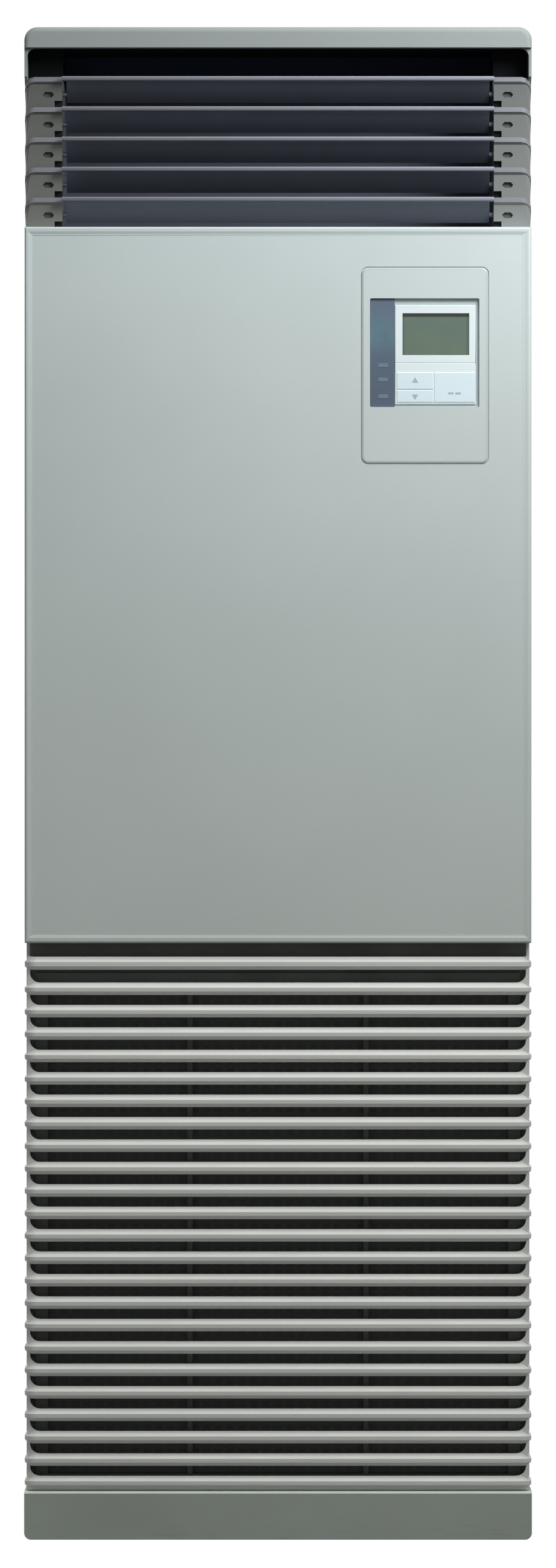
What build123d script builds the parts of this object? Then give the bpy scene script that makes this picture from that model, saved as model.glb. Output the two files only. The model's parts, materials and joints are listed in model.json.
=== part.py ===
"""Floor-standing indoor unit of a split air conditioner, in millimetres.

The origin is at the middle of the footprint on the floor.
X runs to the right seen from the front, Y to the back, Z up, and the front faces -Y.
"""

import os
from math import cos, radians, sin, tan

from build123d import *

# Overall cabinet
panel_width = 590.0
cabinet_height = 1750.0
cabinet_depth = 210.0
front_depth = 45.0
sheet = 1.5
fold = 24.0
bend_r = 1.3
trim_inset = 1.5
trim_setback = 2.0
side_inset = 2.5
corner_steps = 3

# Base pan
base_height = 56.0
base_inset = 1.5
base_setback = 0.8
base_rear_setback = 2.0
base_sheet = 2.0
base_corner_r = 8.0
base_top_chamfer = 2.6
base_flange = 26.0
anchor_hole_r = 6.0
anchor_spacing_x = 460.0
anchor_spacing_y = 130.0

# Pressings and holes in the side and back panels
swage_rises = (264.0, 804.0, 1184.0)
swage_height = 14.0
swage_margin = 56.0
press_depth = 0.7
bracket_hole_r = 2.5
bracket_spacing_x = 420.0
bracket_spacing_z = 30.0
bracket_drop = 66.0
knockout_r = 42.0
knockout_sides = 24
knockout_groove = 2.0
knockout_rise = 109.0
knockout_x = 195.0
side_knockout_inset = 65.0
side_knockout_width = 70.0
side_knockout_height = 96.0

# Top cap
cap_height = 24.0
cap_wall = 3.0
cap_corner_r = 11.0
cap_front_r = 5.0
cap_leg = 3.2
cap_frame_setback = 7.0
cap_frame_depth = 6.0
outlet_corner_r = 10.0

# Outlet louvers and cheeks
outlet_mouth = 33.0
louver_count = 5
louver_pitch = 34.9
cheek_width = 45.0
lip_height = 5.5
lip_depth = 6.0
lip_nose_r = 2.2
blade_slope = 38.0
blade_run = 35.0
blade_thickness = 3.0
blade_inset = 0.8
blade_end_clearance = 5.0
pivot_back = 26.0
pivot_down = 18.5
pin_r = 3.0
pin_clearance = 0.08
pin_length = 15.0
pin_end_clearance = 1.0
lug_size = 8.0
lug_back = 3.0
lug_up = 4.0
cheek_setback = 11.0
cheek_lip_height = 5.5
cheek_plan_r = 12.0
cheek_core_inset = 3.0
cheek_side_inset = 0.8
cheek_tooth_back = 6.0
mark_inset = 29.0
mark_length = 12.0
mark_height = 6.4
mark_bevel = 2.4
mark_down = 20.0
mark_depth = 10.0
notch_width = 9.0
notch_height = 8.0
notch_depth = 14.0

# Outlet duct
duct_wall = 3.0
sill_height = 48.5
scoop_setback = 23.0
scoop_r = 84.0

# Cooling coil across the air way
coil_thickness = 40.0
coil_tilt = 62.0
coil_clearance = 5.0
coil_gap = 8.0

# Front panel
front_edge_r = 3.0
rim_side = 4.0
rim_top = 5.5
rim_bottom = 6.0
field_depth = 1.2
field_taper = 50.0
panel_fold = 14.0

# Control cover
cover_width = 151.0
cover_height = 226.0
cover_side_margin = 47.0
cover_top_margin = 47.5
cover_corner_r = 7.0
cover_gap = 1.1
cover_bevel_width = 2.4
cover_bevel_depth = 0.9
cover_flange = 5.0
cover_flange_thickness = 2.0
window_width = 126.2
window_height = 125.6
window_side_margin = 11.5
window_top_margin = 35.4
window_corner_r = 1.5

# Wired controller behind the window
carrier_flange = 4.0
carrier_depth = 12.0
strip_width = 28.5
strip_raise = 1.4
strip_gap = 0.4
face_right_gap = 2.7
face_bottom_gap = 3.0
face_top_gap = 5.6
face_raise = 2.3
face_bevel = 0.8
display_height = 47.0
display_side_margin = 9.0
display_top_margin = 13.0
display_recess = 0.4
display_pocket = 1.4
face_line_drop = 9.0
face_line_width = 1.0
face_line_depth = 0.5
key_drop = 11.0
key_upper_height = 20.0
key_left_width = 45.0
key_gap = 0.6
key_side_gap = 2.5
key_raise = 0.7
key_bevel = 0.4

# Inlet grille
grille_seat = 1.0
slat_count = 23
slat_pitch = 25.95
slat_height = 14.2
lowest_slat_rise = 17.2
head_gap = 14.9
head_slat_height = 15.0
inlet_gap = 16.0
slat_plan_r = 14.0
slat_depth = 11.0
slat_brow = 5.7
slat_chin = 4.0
plate_inset = 3.5
plate_setback = 6.0
plate_thickness = 6.0
grille_return = 3.0
slot_bevel = 6.5

# Air filter and rail behind the grille
filter_side_gap = 1.5
filter_bottom_gap = 3.0
filter_top_drop = 19.0
filter_border = 14.0
filter_depth = 20.0
filter_bar_x = 102.0
filter_bar_width = 6.0
net_depth = 12.0
net_thickness = 1.5
rail_depth = 14.0
rail_inset = 5.5
rail_gap = 0.5

# Places that follow from the sizes above
half_width = panel_width / 2
front_y = -cabinet_depth / 2
back_y = cabinet_depth / 2
seam_y = front_y + front_depth
trim_outer_x = half_width - trim_inset
trim_front_y = front_y + trim_setback
side_outer_x = half_width - side_inset
side_inner_x = side_outer_x - sheet
base_outer_x = half_width - base_inset
base_front_y = front_y + base_setback
base_rear_y = back_y - base_rear_setback
cap_bottom_z = cabinet_height - cap_height
louver_top_z = cap_bottom_z - outlet_mouth
front_top_z = louver_top_z - louver_count * louver_pitch
louver_half_x = half_width - cheek_width
blade_half_x = louver_half_x - blade_end_clearance
cheek_front_y = trim_front_y + cheek_setback
slope = tan(radians(blade_slope))
slope_drop = (seam_y - cheek_front_y) * slope
cap_frame_back_y = trim_front_y + cap_frame_setback + cap_frame_depth
duct_bottom_z = front_top_z - sill_height
scoop_back_y = back_y - scoop_setback
lowest_slat_top_z = base_height + lowest_slat_rise
slat_top_z = lowest_slat_top_z + (slat_count - 1) * slat_pitch
head_slat_top_z = slat_top_z + head_gap + head_slat_height
front_bottom_z = head_slat_top_z + inlet_gap
grille_bottom_z = base_height + grille_seat

os.makedirs("parts", exist_ok=True)


def turned_corner(outer_x, face_y, radius):
    """Points round a right-hand corner, from the front face to the side."""
    points = []
    for step in range(corner_steps + 1):
        turn = radians(90 * step / corner_steps)
        points.append((outer_x - radius * (1 - sin(turn)), face_y + radius * (1 - cos(turn))))
    return points


# Base pan: a tray with a turned-in top flange and four anchor holes in its floor
with BuildPart() as base_pan:
    with BuildSketch(Plane.XZ.offset(-base_rear_y)):
        with Locations((0, base_height / 2)):
            Rectangle(2 * base_outer_x, base_height)
    extrude(amount=base_rear_y - base_front_y)
    lower_edges = base_pan.edges().filter_by(Axis.Y).group_by(Axis.Z)[0]
    fillet(lower_edges, radius=base_corner_r)
    front_face = base_pan.faces().sort_by(Axis.Y)[0]
    top_front_edge = front_face.edges().sort_by(Axis.Z)[-1]
    chamfer(top_front_edge, length=base_top_chamfer)
    with BuildSketch(Plane.XY.offset(base_sheet)):
        with Locations((0, (base_front_y + base_rear_y) / 2)):
            Rectangle(
                2 * (base_outer_x - base_corner_r),
                base_rear_y - base_front_y - 2 * base_sheet,
            )
    extrude(amount=base_height - 2 * base_sheet, mode=Mode.SUBTRACT)
    with BuildSketch(Plane.XY.offset(base_height - base_sheet)):
        with Locations((0, (base_front_y + base_rear_y) / 2)):
            Rectangle(
                2 * (base_outer_x - base_flange),
                base_rear_y - base_front_y - 2 * base_flange,
            )
    extrude(amount=base_sheet, mode=Mode.SUBTRACT)
    with Locations(Plane.XY.offset(base_sheet)):
        with GridLocations(anchor_spacing_x, anchor_spacing_y, 2, 2):
            Hole(radius=anchor_hole_r, depth=base_sheet)
base_pan.part.label = "base_pan"
export_step(base_pan.part, "parts/base_pan.step")


# Side panels: folded sheet with a front and a rear flange turned in
for side_name, side_sign in (("left", -1), ("right", 1)):
    with BuildPart() as side_panel:
        with BuildSketch(Plane.XY.offset(base_height)):
            with BuildLine():
                Polyline(
                    (side_sign * (side_outer_x - fold), seam_y),
                    (side_sign * side_outer_x, seam_y),
                    (side_sign * side_outer_x, back_y - sheet),
                    (side_sign * (side_outer_x - fold), back_y - sheet),
                    (side_sign * (side_outer_x - fold), back_y - 2 * sheet),
                    (side_sign * side_inner_x, back_y - 2 * sheet),
                    (side_sign * side_inner_x, seam_y + sheet),
                    (side_sign * (side_outer_x - fold), seam_y + sheet),
                    close=True,
                )
            make_face()
        extrude(amount=cap_bottom_z - base_height)
        outer_group = 0 if side_sign < 0 else -1
        bend_edges = side_panel.edges().filter_by(Axis.Z).group_by(Axis.X)[outer_group]
        fillet(bend_edges, radius=bend_r)
        outer_plane = Plane(
            origin=(side_sign * side_outer_x, back_y - side_knockout_inset, base_height + knockout_rise),
            x_dir=(0, 1, 0),
            z_dir=(side_sign, 0, 0),
        )
        with BuildSketch(outer_plane):
            Rectangle(side_knockout_width, side_knockout_height)
            Rectangle(
                side_knockout_width - 2 * knockout_groove,
                side_knockout_height - 2 * knockout_groove,
                mode=Mode.SUBTRACT,
            )
        extrude(amount=-press_depth, mode=Mode.SUBTRACT)
    side_panel.part.label = f"{side_name}_side_panel"
    export_step(side_panel.part, f"parts/{side_name}_side_panel.step")


# Back panel: flat sheet with pressed grooves, bracket screw holes and two pipe knock-outs
with BuildPart() as back_panel:
    with BuildSketch(Plane.XZ.offset(-back_y)):
        with Locations((0, (base_height + cap_bottom_z) / 2)):
            Rectangle(2 * side_inner_x, cap_bottom_z - base_height)
    extrude(amount=sheet)
    rear_plane = Plane(origin=(0, back_y, 0), x_dir=(-1, 0, 0), z_dir=(0, 1, 0))
    with BuildSketch(rear_plane):
        for swage_rise in swage_rises:
            with Locations((0, base_height + swage_rise)):
                Rectangle(2 * (side_inner_x - swage_margin), swage_height)
        knockout_z = base_height + knockout_rise
        with Locations((knockout_x, knockout_z), (-knockout_x, knockout_z)):
            RegularPolygon(knockout_r, knockout_sides)
            RegularPolygon(knockout_r - knockout_groove, knockout_sides, mode=Mode.SUBTRACT)
    extrude(amount=-press_depth, mode=Mode.SUBTRACT)
    with BuildSketch(rear_plane):
        with Locations((0, cap_bottom_z - bracket_drop)):
            with GridLocations(bracket_spacing_x, bracket_spacing_z, 2, 2):
                Circle(bracket_hole_r)
    extrude(amount=-sheet, mode=Mode.SUBTRACT)
back_panel.part.label = "back_panel"
export_step(back_panel.part, "parts/back_panel.step")


# Top cap: a hollow moulding with a frame round the top of the outlet and two slanted side legs
with BuildPart() as top_cap:
    with BuildSketch(Plane.XY.offset(cap_bottom_z)):
        with Locations((0, (trim_front_y + back_y) / 2)):
            Rectangle(2 * trim_outer_x, back_y - trim_front_y)
    extrude(amount=cabinet_height - cap_bottom_z)
    cap_side_edges = top_cap.edges().filter_by(Axis.Y).group_by(Axis.Z)[-1]
    fillet(cap_side_edges, radius=cap_corner_r)
    cap_front_edges = top_cap.faces().sort_by(Axis.Y)[0].edges().group_by(Axis.Z)[-1]
    fillet(cap_front_edges, radius=cap_front_r)
    with BuildSketch(Plane.XY.offset(cap_bottom_z)):
        with Locations((0, (trim_front_y + back_y) / 2)):
            Rectangle(2 * (trim_outer_x - cap_wall), back_y - trim_front_y - 2 * cap_wall)
    extrude(amount=cabinet_height - cap_bottom_z - cap_corner_r, mode=Mode.SUBTRACT)
    with BuildSketch(Plane.XZ.offset(-cap_frame_back_y)):
        with Locations((0, (louver_top_z + cap_bottom_z + cap_wall) / 2)):
            Rectangle(2 * trim_outer_x, cap_bottom_z + cap_wall - louver_top_z)
        with Locations((0, louver_top_z)):
            RectangleRounded(
                2 * (trim_outer_x - cap_leg),
                2 * (cap_bottom_z - louver_top_z),
                outlet_corner_r,
                mode=Mode.SUBTRACT,
            )
    extrude(amount=cap_frame_depth)
    for leg_x in (-trim_outer_x, trim_outer_x - cap_leg):
        with BuildSketch(Plane.YZ.offset(leg_x)):
            with BuildLine():
                Polyline(
                    (cap_frame_back_y, cap_bottom_z),
                    (cap_frame_back_y, louver_top_z),
                    (cheek_front_y, louver_top_z),
                    (seam_y, louver_top_z - slope_drop),
                    (seam_y, cap_bottom_z),
                    close=True,
                )
            make_face()
        extrude(amount=cap_leg)
top_cap.part.label = "top_cap"
export_step(top_cap.part, "parts/top_cap.step")


# Outlet cheeks: saw-toothed end blocks whose sloping lips turn round the corner
with BuildPart() as cheek_lips:
    for row in range(louver_count):
        row_z = louver_top_z - row * louver_pitch
        with BuildSketch(Plane.YZ.offset(louver_half_x)):
            with BuildLine():
                Polyline(
                    (cheek_front_y, row_z),
                    (seam_y, row_z - slope_drop),
                    (seam_y, row_z - slope_drop - cheek_lip_height),
                    (cheek_front_y, row_z - cheek_lip_height),
                    close=True,
                )
            make_face()
        extrude(amount=trim_outer_x - louver_half_x)
    with BuildSketch(Plane.XY.offset(front_top_z)):
        with BuildLine():
            Polyline(
                (louver_half_x, cheek_front_y),
                *turned_corner(trim_outer_x, cheek_front_y, cheek_plan_r),
                (trim_outer_x, seam_y),
                (louver_half_x, seam_y),
                close=True,
            )
        make_face()
    extrude(amount=louver_top_z - front_top_z, mode=Mode.INTERSECT)

tooth_front_y = cheek_front_y + cheek_core_inset
tooth_back_y = tooth_front_y + cheek_tooth_back
core_outer_x = trim_outer_x - cheek_side_inset
front_sink = (tooth_front_y - cheek_front_y) * slope + cheek_lip_height / 2
back_sink = (tooth_back_y - cheek_front_y) * slope + cheek_lip_height / 2
tooth_points = [(seam_y, louver_top_z - slope_drop - cheek_lip_height / 2)]
for row in range(louver_count):
    row_z = louver_top_z - row * louver_pitch
    if row > 0:
        tooth_points.append((tooth_back_y, row_z - back_sink))
    tooth_points.append((tooth_front_y, row_z - front_sink))
tooth_points.append((tooth_back_y, front_top_z))
tooth_points.append((seam_y, front_top_z))

mark_back_y = cheek_front_y + mark_depth
notch_back_y = cheek_front_y + notch_depth
with BuildPart() as outlet_cheek_right:
    with BuildSketch(Plane.YZ.offset(louver_half_x)):
        with BuildLine():
            Polyline(*tooth_points, close=True)
        make_face()
    extrude(amount=core_outer_x - louver_half_x)
    with BuildSketch(Plane.XY.offset(front_top_z)):
        with BuildLine():
            Polyline(
                (louver_half_x, tooth_front_y),
                *turned_corner(core_outer_x, tooth_front_y, cheek_plan_r - cheek_core_inset),
                (core_outer_x, seam_y),
                (louver_half_x, seam_y),
                close=True,
            )
        make_face()
    extrude(amount=louver_top_z - front_top_z, mode=Mode.INTERSECT)
    add(cheek_lips.part)
    for row in range(louver_count):
        row_z = louver_top_z - row * louver_pitch
        with BuildSketch(Plane.YZ.offset(louver_half_x)):
            with Locations((trim_front_y + pivot_back, row_z - pivot_down)):
                Circle(pin_r + pin_clearance)
        bore_depth = pin_length - blade_end_clearance + pin_end_clearance
        extrude(amount=bore_depth, mode=Mode.SUBTRACT)
        with BuildSketch(Plane.XZ.offset(-mark_back_y)) as mark:
            with Locations((half_width - mark_inset, row_z - mark_down)):
                Rectangle(mark_length, mark_height)
            chamfer(mark.vertices(), length=mark_bevel)
        extrude(amount=mark_back_y - cheek_front_y, mode=Mode.SUBTRACT)
        with BuildSketch(Plane.XZ.offset(-notch_back_y)):
            with Locations((louver_half_x, row_z - louver_pitch + notch_height / 2)):
                Rectangle(2 * notch_width, notch_height)
        extrude(amount=notch_back_y - cheek_front_y, mode=Mode.SUBTRACT)
outlet_cheek_right.part.label = "outlet_cheek_right"
export_step(outlet_cheek_right.part, "parts/outlet_cheek_right.step")

with BuildPart() as outlet_cheek_left:
    mirror(outlet_cheek_right.part, about=Plane.YZ)
outlet_cheek_left.part.label = "outlet_cheek_left"
export_step(outlet_cheek_left.part, "parts/outlet_cheek_left.step")


# Louvers: a sloping blade with round pivot pins, and a pale lip along its front edge
lip_back_y = trim_front_y + lip_depth
blade_drop = (blade_run - lip_depth) * slope
blade_upright = blade_thickness / cos(radians(blade_slope))
for row in range(louver_count):
    row_z = louver_top_z - row * louver_pitch
    with BuildPart() as louver_blade:
        with BuildSketch(Plane.YZ.offset(-blade_half_x)):
            with BuildLine():
                Polyline(
                    (lip_back_y, row_z - blade_inset),
                    (trim_front_y + blade_run, row_z - blade_inset - blade_drop),
                    (trim_front_y + blade_run, row_z - blade_inset - blade_drop - blade_upright),
                    (lip_back_y, row_z - blade_inset - blade_upright),
                    close=True,
                )
            make_face()
        extrude(amount=2 * blade_half_x)
        for lug_start_x in (-blade_half_x, blade_half_x - lug_size):
            with BuildSketch(Plane.YZ.offset(lug_start_x)):
                lug_y = trim_front_y + pivot_back + lug_back
                with Locations((lug_y, row_z - pivot_down + lug_up)):
                    Rectangle(lug_size, lug_size)
            extrude(amount=lug_size)
        with BuildSketch(Plane.YZ.offset(-blade_half_x - pin_length)):
            with Locations((trim_front_y + pivot_back, row_z - pivot_down)):
                Circle(pin_r)
        extrude(amount=pin_length)
        with BuildSketch(Plane.YZ.offset(blade_half_x)):
            with Locations((trim_front_y + pivot_back, row_z - pivot_down)):
                Circle(pin_r)
        extrude(amount=pin_length)
    louver_blade.part.label = f"louver_blade_{row + 1}"
    export_step(louver_blade.part, f"parts/louver_blade_{row + 1}.step")

    with BuildPart() as louver_lip:
        with BuildSketch(Plane.YZ.offset(-louver_half_x)):
            with Locations((trim_front_y + lip_depth / 2, row_z - lip_height / 2)):
                Rectangle(lip_depth, lip_height)
        extrude(amount=2 * louver_half_x)
        nose_edges = louver_lip.edges().filter_by(Axis.X).group_by(Axis.Y)[0]
        fillet(nose_edges, radius=lip_nose_r)
    louver_lip.part.label = f"louver_lip_{row + 1}"
    export_step(louver_lip.part, f"parts/louver_lip_{row + 1}.step")


# Outlet duct: ceiling, two sides with front wings, curved back scoop and front sill
with BuildPart() as duct_ceiling:
    with BuildSketch(Plane.XY.offset(cap_bottom_z)):
        ceiling_back_y = back_y - cap_wall
        with Locations((0, (cap_frame_back_y + ceiling_back_y) / 2)):
            Rectangle(2 * (trim_outer_x - cap_wall), ceiling_back_y - cap_frame_back_y)
    extrude(amount=duct_wall)
duct_ceiling.part.label = "duct_ceiling"
export_step(duct_ceiling.part, "parts/duct_ceiling.step")

wing_bottom_z = louver_top_z - slope_drop + duct_wall * slope
with BuildPart() as duct_side_right:
    with BuildSketch(Plane.YZ.offset(louver_half_x)):
        with Locations(((seam_y + scoop_back_y + duct_wall) / 2, (duct_bottom_z + cap_bottom_z) / 2)):
            Rectangle(scoop_back_y + duct_wall - seam_y, cap_bottom_z - duct_bottom_z)
    extrude(amount=duct_wall)
    with BuildSketch(Plane.XZ.offset(-seam_y)):
        wing_outer_x = trim_outer_x - cap_leg
        with Locations(((louver_half_x + wing_outer_x) / 2, (wing_bottom_z + cap_bottom_z) / 2)):
            Rectangle(wing_outer_x - louver_half_x, cap_bottom_z - wing_bottom_z)
    extrude(amount=duct_wall)
duct_side_right.part.label = "duct_side_right"
export_step(duct_side_right.part, "parts/duct_side_right.step")

with BuildPart() as duct_side_left:
    mirror(duct_side_right.part, about=Plane.YZ)
duct_side_left.part.label = "duct_side_left"
export_step(duct_side_left.part, "parts/duct_side_left.step")

with BuildPart() as duct_scoop:
    with BuildSketch(Plane.YZ.offset(-louver_half_x)):
        with BuildLine():
            Line((scoop_back_y, duct_bottom_z), (scoop_back_y, cap_bottom_z - scoop_r))
            RadiusArc(
                (scoop_back_y, cap_bottom_z - scoop_r),
                (scoop_back_y - scoop_r, cap_bottom_z),
                -scoop_r,
            )
            Line(
                (scoop_back_y - scoop_r, cap_bottom_z),
                (scoop_back_y - scoop_r + duct_wall, cap_bottom_z),
            )
            Line(
                (scoop_back_y - scoop_r + duct_wall, cap_bottom_z),
                (scoop_back_y + duct_wall, cap_bottom_z),
            )
            Line(
                (scoop_back_y + duct_wall, cap_bottom_z),
                (scoop_back_y + duct_wall, duct_bottom_z),
            )
            Line((scoop_back_y + duct_wall, duct_bottom_z), (scoop_back_y, duct_bottom_z))
        make_face()
    extrude(amount=2 * louver_half_x)
duct_scoop.part.label = "duct_scoop"
export_step(duct_scoop.part, "parts/duct_scoop.step")

with BuildPart() as duct_sill:
    with BuildSketch(Plane.XZ.offset(-seam_y - duct_wall)):
        with Locations((0, (duct_bottom_z + front_top_z) / 2)):
            Rectangle(2 * louver_half_x, front_top_z - duct_bottom_z)
    extrude(amount=duct_wall)
duct_sill.part.label = "duct_sill"
export_step(duct_sill.part, "parts/duct_sill.step")


# Cooling coil: an inclined slab across the air way under the duct
coil_half_depth = (back_y - seam_y) / 2 - coil_clearance
coil_rise = sin(radians(coil_tilt))
coil_run = cos(radians(coil_tilt))
coil_length = (2 * coil_half_depth - coil_thickness * coil_rise) / coil_run
coil_half_height = (coil_length * coil_rise + coil_thickness * coil_run) / 2
with BuildPart() as cooling_coil:
    coil_plane = Plane(
        origin=(-side_inner_x, (seam_y + back_y) / 2, duct_bottom_z - coil_gap - coil_half_height),
        x_dir=(0, 1, 0),
        z_dir=(1, 0, 0),
    )
    with BuildSketch(coil_plane):
        Rectangle(coil_length, coil_thickness, rotation=coil_tilt)
    extrude(amount=2 * side_inner_x)
cooling_coil.part.label = "cooling_coil"
export_step(cooling_coil.part, "parts/cooling_coil.step")


# Front panel: a deep tray with a raised rim, a recessed field and the control cut-out
cover_mid_x = half_width - cover_side_margin - cover_width / 2
cover_mid_z = front_top_z - cover_top_margin - cover_height / 2
with BuildPart() as front_panel:
    panel_mid_z = (front_bottom_z + front_top_z) / 2
    panel_height = front_top_z - front_bottom_z
    with BuildSketch(Plane.XZ.offset(-seam_y)):
        with Locations((0, panel_mid_z)):
            Rectangle(panel_width, panel_height)
    extrude(amount=seam_y - front_y)
    fillet(front_panel.faces().sort_by(Axis.Y)[0].edges(), radius=front_edge_r)
    inner_front_y = front_y + field_depth + sheet
    with BuildSketch(Plane.XZ.offset(-(seam_y - sheet))):
        with Locations((0, panel_mid_z)):
            Rectangle(panel_width - 2 * sheet, panel_height - 2 * sheet)
    extrude(amount=seam_y - sheet - inner_front_y, mode=Mode.SUBTRACT)
    with BuildSketch(Plane.XZ.offset(-seam_y)):
        with Locations((0, panel_mid_z)):
            Rectangle(panel_width - 2 * panel_fold, panel_height - 2 * panel_fold)
    extrude(amount=sheet, mode=Mode.SUBTRACT)
    with BuildSketch(Plane.XZ.offset(-front_y)):
        with Locations((0, panel_mid_z + (rim_bottom - rim_top) / 2)):
            Rectangle(panel_width - 2 * rim_side, panel_height - rim_top - rim_bottom)
    extrude(amount=-field_depth, taper=field_taper, mode=Mode.SUBTRACT)
    with BuildSketch(Plane.XZ.offset(-front_y)):
        with Locations((cover_mid_x, cover_mid_z)):
            RectangleRounded(
                cover_width + 2 * cover_gap,
                cover_height + 2 * cover_gap,
                cover_corner_r + cover_gap,
            )
    extrude(amount=front_y - inner_front_y, mode=Mode.SUBTRACT)
front_panel.part.label = "front_panel"
export_step(front_panel.part, "parts/front_panel.step")


# Control cover: a plate in the panel's cut-out, held by a flange behind the sheet, with a window
window_left_x = cover_mid_x - cover_width / 2 + window_side_margin
window_mid_x = window_left_x + window_width / 2
window_top_z = cover_mid_z + cover_height / 2 - window_top_margin
window_mid_z = window_top_z - window_height / 2
with BuildPart() as control_cover:
    cover_back_y = inner_front_y + cover_flange_thickness
    with BuildSketch(Plane.XZ.offset(-inner_front_y)):
        with Locations((cover_mid_x, cover_mid_z)):
            RectangleRounded(cover_width, cover_height, cover_corner_r)
    extrude(amount=inner_front_y - front_y)
    cover_face = control_cover.faces().sort_by(Axis.Y)[0]
    chamfer(
        cover_face.edges(),
        length=cover_bevel_width,
        length2=cover_bevel_depth,
        reference=cover_face,
    )
    with BuildSketch(Plane.XZ.offset(-cover_back_y)):
        with Locations((cover_mid_x, cover_mid_z)):
            RectangleRounded(
                cover_width + 2 * cover_flange,
                cover_height + 2 * cover_flange,
                cover_corner_r + cover_flange,
            )
    extrude(amount=cover_flange_thickness)
    with BuildSketch(Plane.XZ.offset(-cover_back_y)):
        with Locations((window_mid_x, window_mid_z)):
            RectangleRounded(window_width, window_height, window_corner_r)
    extrude(amount=cover_back_y - front_y, mode=Mode.SUBTRACT)
control_cover.part.label = "control_cover"
export_step(control_cover.part, "parts/control_cover.step")


# Controller: carrier with a raised slate strip, white face, display and three keys
strip_right_x = window_left_x + strip_width
face_right_x = window_left_x + window_width - face_right_gap
face_mid_x = (strip_right_x + face_right_x) / 2
face_width = face_right_x - strip_right_x
face_top_z = window_top_z - face_top_gap
face_bottom_z = window_top_z - window_height + face_bottom_gap
face_front_y = cover_back_y - face_raise
with BuildPart() as controller_carrier:
    with BuildSketch(Plane.XZ.offset(-cover_back_y - carrier_depth)):
        with Locations((window_mid_x, window_mid_z)):
            Rectangle(window_width + 2 * carrier_flange, window_height + 2 * carrier_flange)
    extrude(amount=carrier_depth)
    with BuildSketch(Plane.XZ.offset(-cover_back_y)):
        with Locations((window_left_x + (strip_gap + strip_width) / 2, window_mid_z)):
            Rectangle(strip_width - strip_gap, window_height - 2 * strip_gap)
    extrude(amount=strip_raise)
controller_carrier.part.label = "controller_carrier"
export_step(controller_carrier.part, "parts/controller_carrier.step")

display_top_z = face_top_z - display_top_margin
display_mid_z = display_top_z - display_height / 2
display_width = face_width - 2 * display_side_margin
face_line_z = display_top_z - display_height - face_line_drop
with BuildPart() as controller_face:
    with BuildSketch(Plane.XZ.offset(-cover_back_y)):
        with Locations((face_mid_x, (face_bottom_z + face_top_z) / 2)):
            Rectangle(face_width, face_top_z - face_bottom_z)
    extrude(amount=face_raise)
    chamfer(controller_face.faces().sort_by(Axis.Y)[0].edges(), length=face_bevel)
    with BuildSketch(Plane.XZ.offset(-face_front_y)):
        with Locations((face_mid_x, display_mid_z)):
            Rectangle(display_width, display_height)
    extrude(amount=-display_pocket, mode=Mode.SUBTRACT)
    with BuildSketch(Plane.XZ.offset(-face_front_y)):
        with Locations((face_mid_x, face_line_z)):
            Rectangle(face_width, face_line_width)
    extrude(amount=-face_line_depth, mode=Mode.SUBTRACT)
controller_face.part.label = "controller_face"
export_step(controller_face.part, "parts/controller_face.step")

with BuildPart() as controller_display:
    with BuildSketch(Plane.XZ.offset(-face_front_y - display_pocket)):
        with Locations((face_mid_x, display_mid_z)):
            Rectangle(display_width, display_height)
    extrude(amount=display_pocket - display_recess)
controller_display.part.label = "controller_display"
export_step(controller_display.part, "parts/controller_display.step")

key_top_z = face_line_z - key_drop
key_split_z = key_top_z - key_upper_height
key_split_x = strip_right_x + key_left_width
key_left_x = strip_right_x + key_side_gap
key_right_x = face_right_x - key_side_gap
key_bottom_z = face_bottom_z + key_side_gap
key_boxes = (
    ("key_upper", key_left_x, key_split_x - key_gap, key_split_z + key_gap, key_top_z),
    ("key_lower", key_left_x, key_split_x - key_gap, key_bottom_z, key_split_z - key_gap),
    ("key_main", key_split_x + key_gap, key_right_x, key_bottom_z, key_top_z),
)
for key_name, left_x, right_x, bottom_z, top_z in key_boxes:
    with BuildPart() as controller_key:
        with BuildSketch(Plane.XZ.offset(-face_front_y)):
            with Locations(((left_x + right_x) / 2, (bottom_z + top_z) / 2)):
                Rectangle(right_x - left_x, top_z - bottom_z)
        extrude(amount=key_raise)
        chamfer(controller_key.faces().sort_by(Axis.Y)[0].edges(), length=key_bevel)
    controller_key.part.label = key_name
    export_step(controller_key.part, f"parts/{key_name}.step")


# Inlet grille: blunt-nosed slats that turn both corners, on a slotted plate
slat_tops = [head_slat_top_z]
slat_heights = [head_slat_height]
for index in range(slat_count):
    slat_tops.append(slat_top_z - index * slat_pitch)
    slat_heights.append(slat_height)

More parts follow.
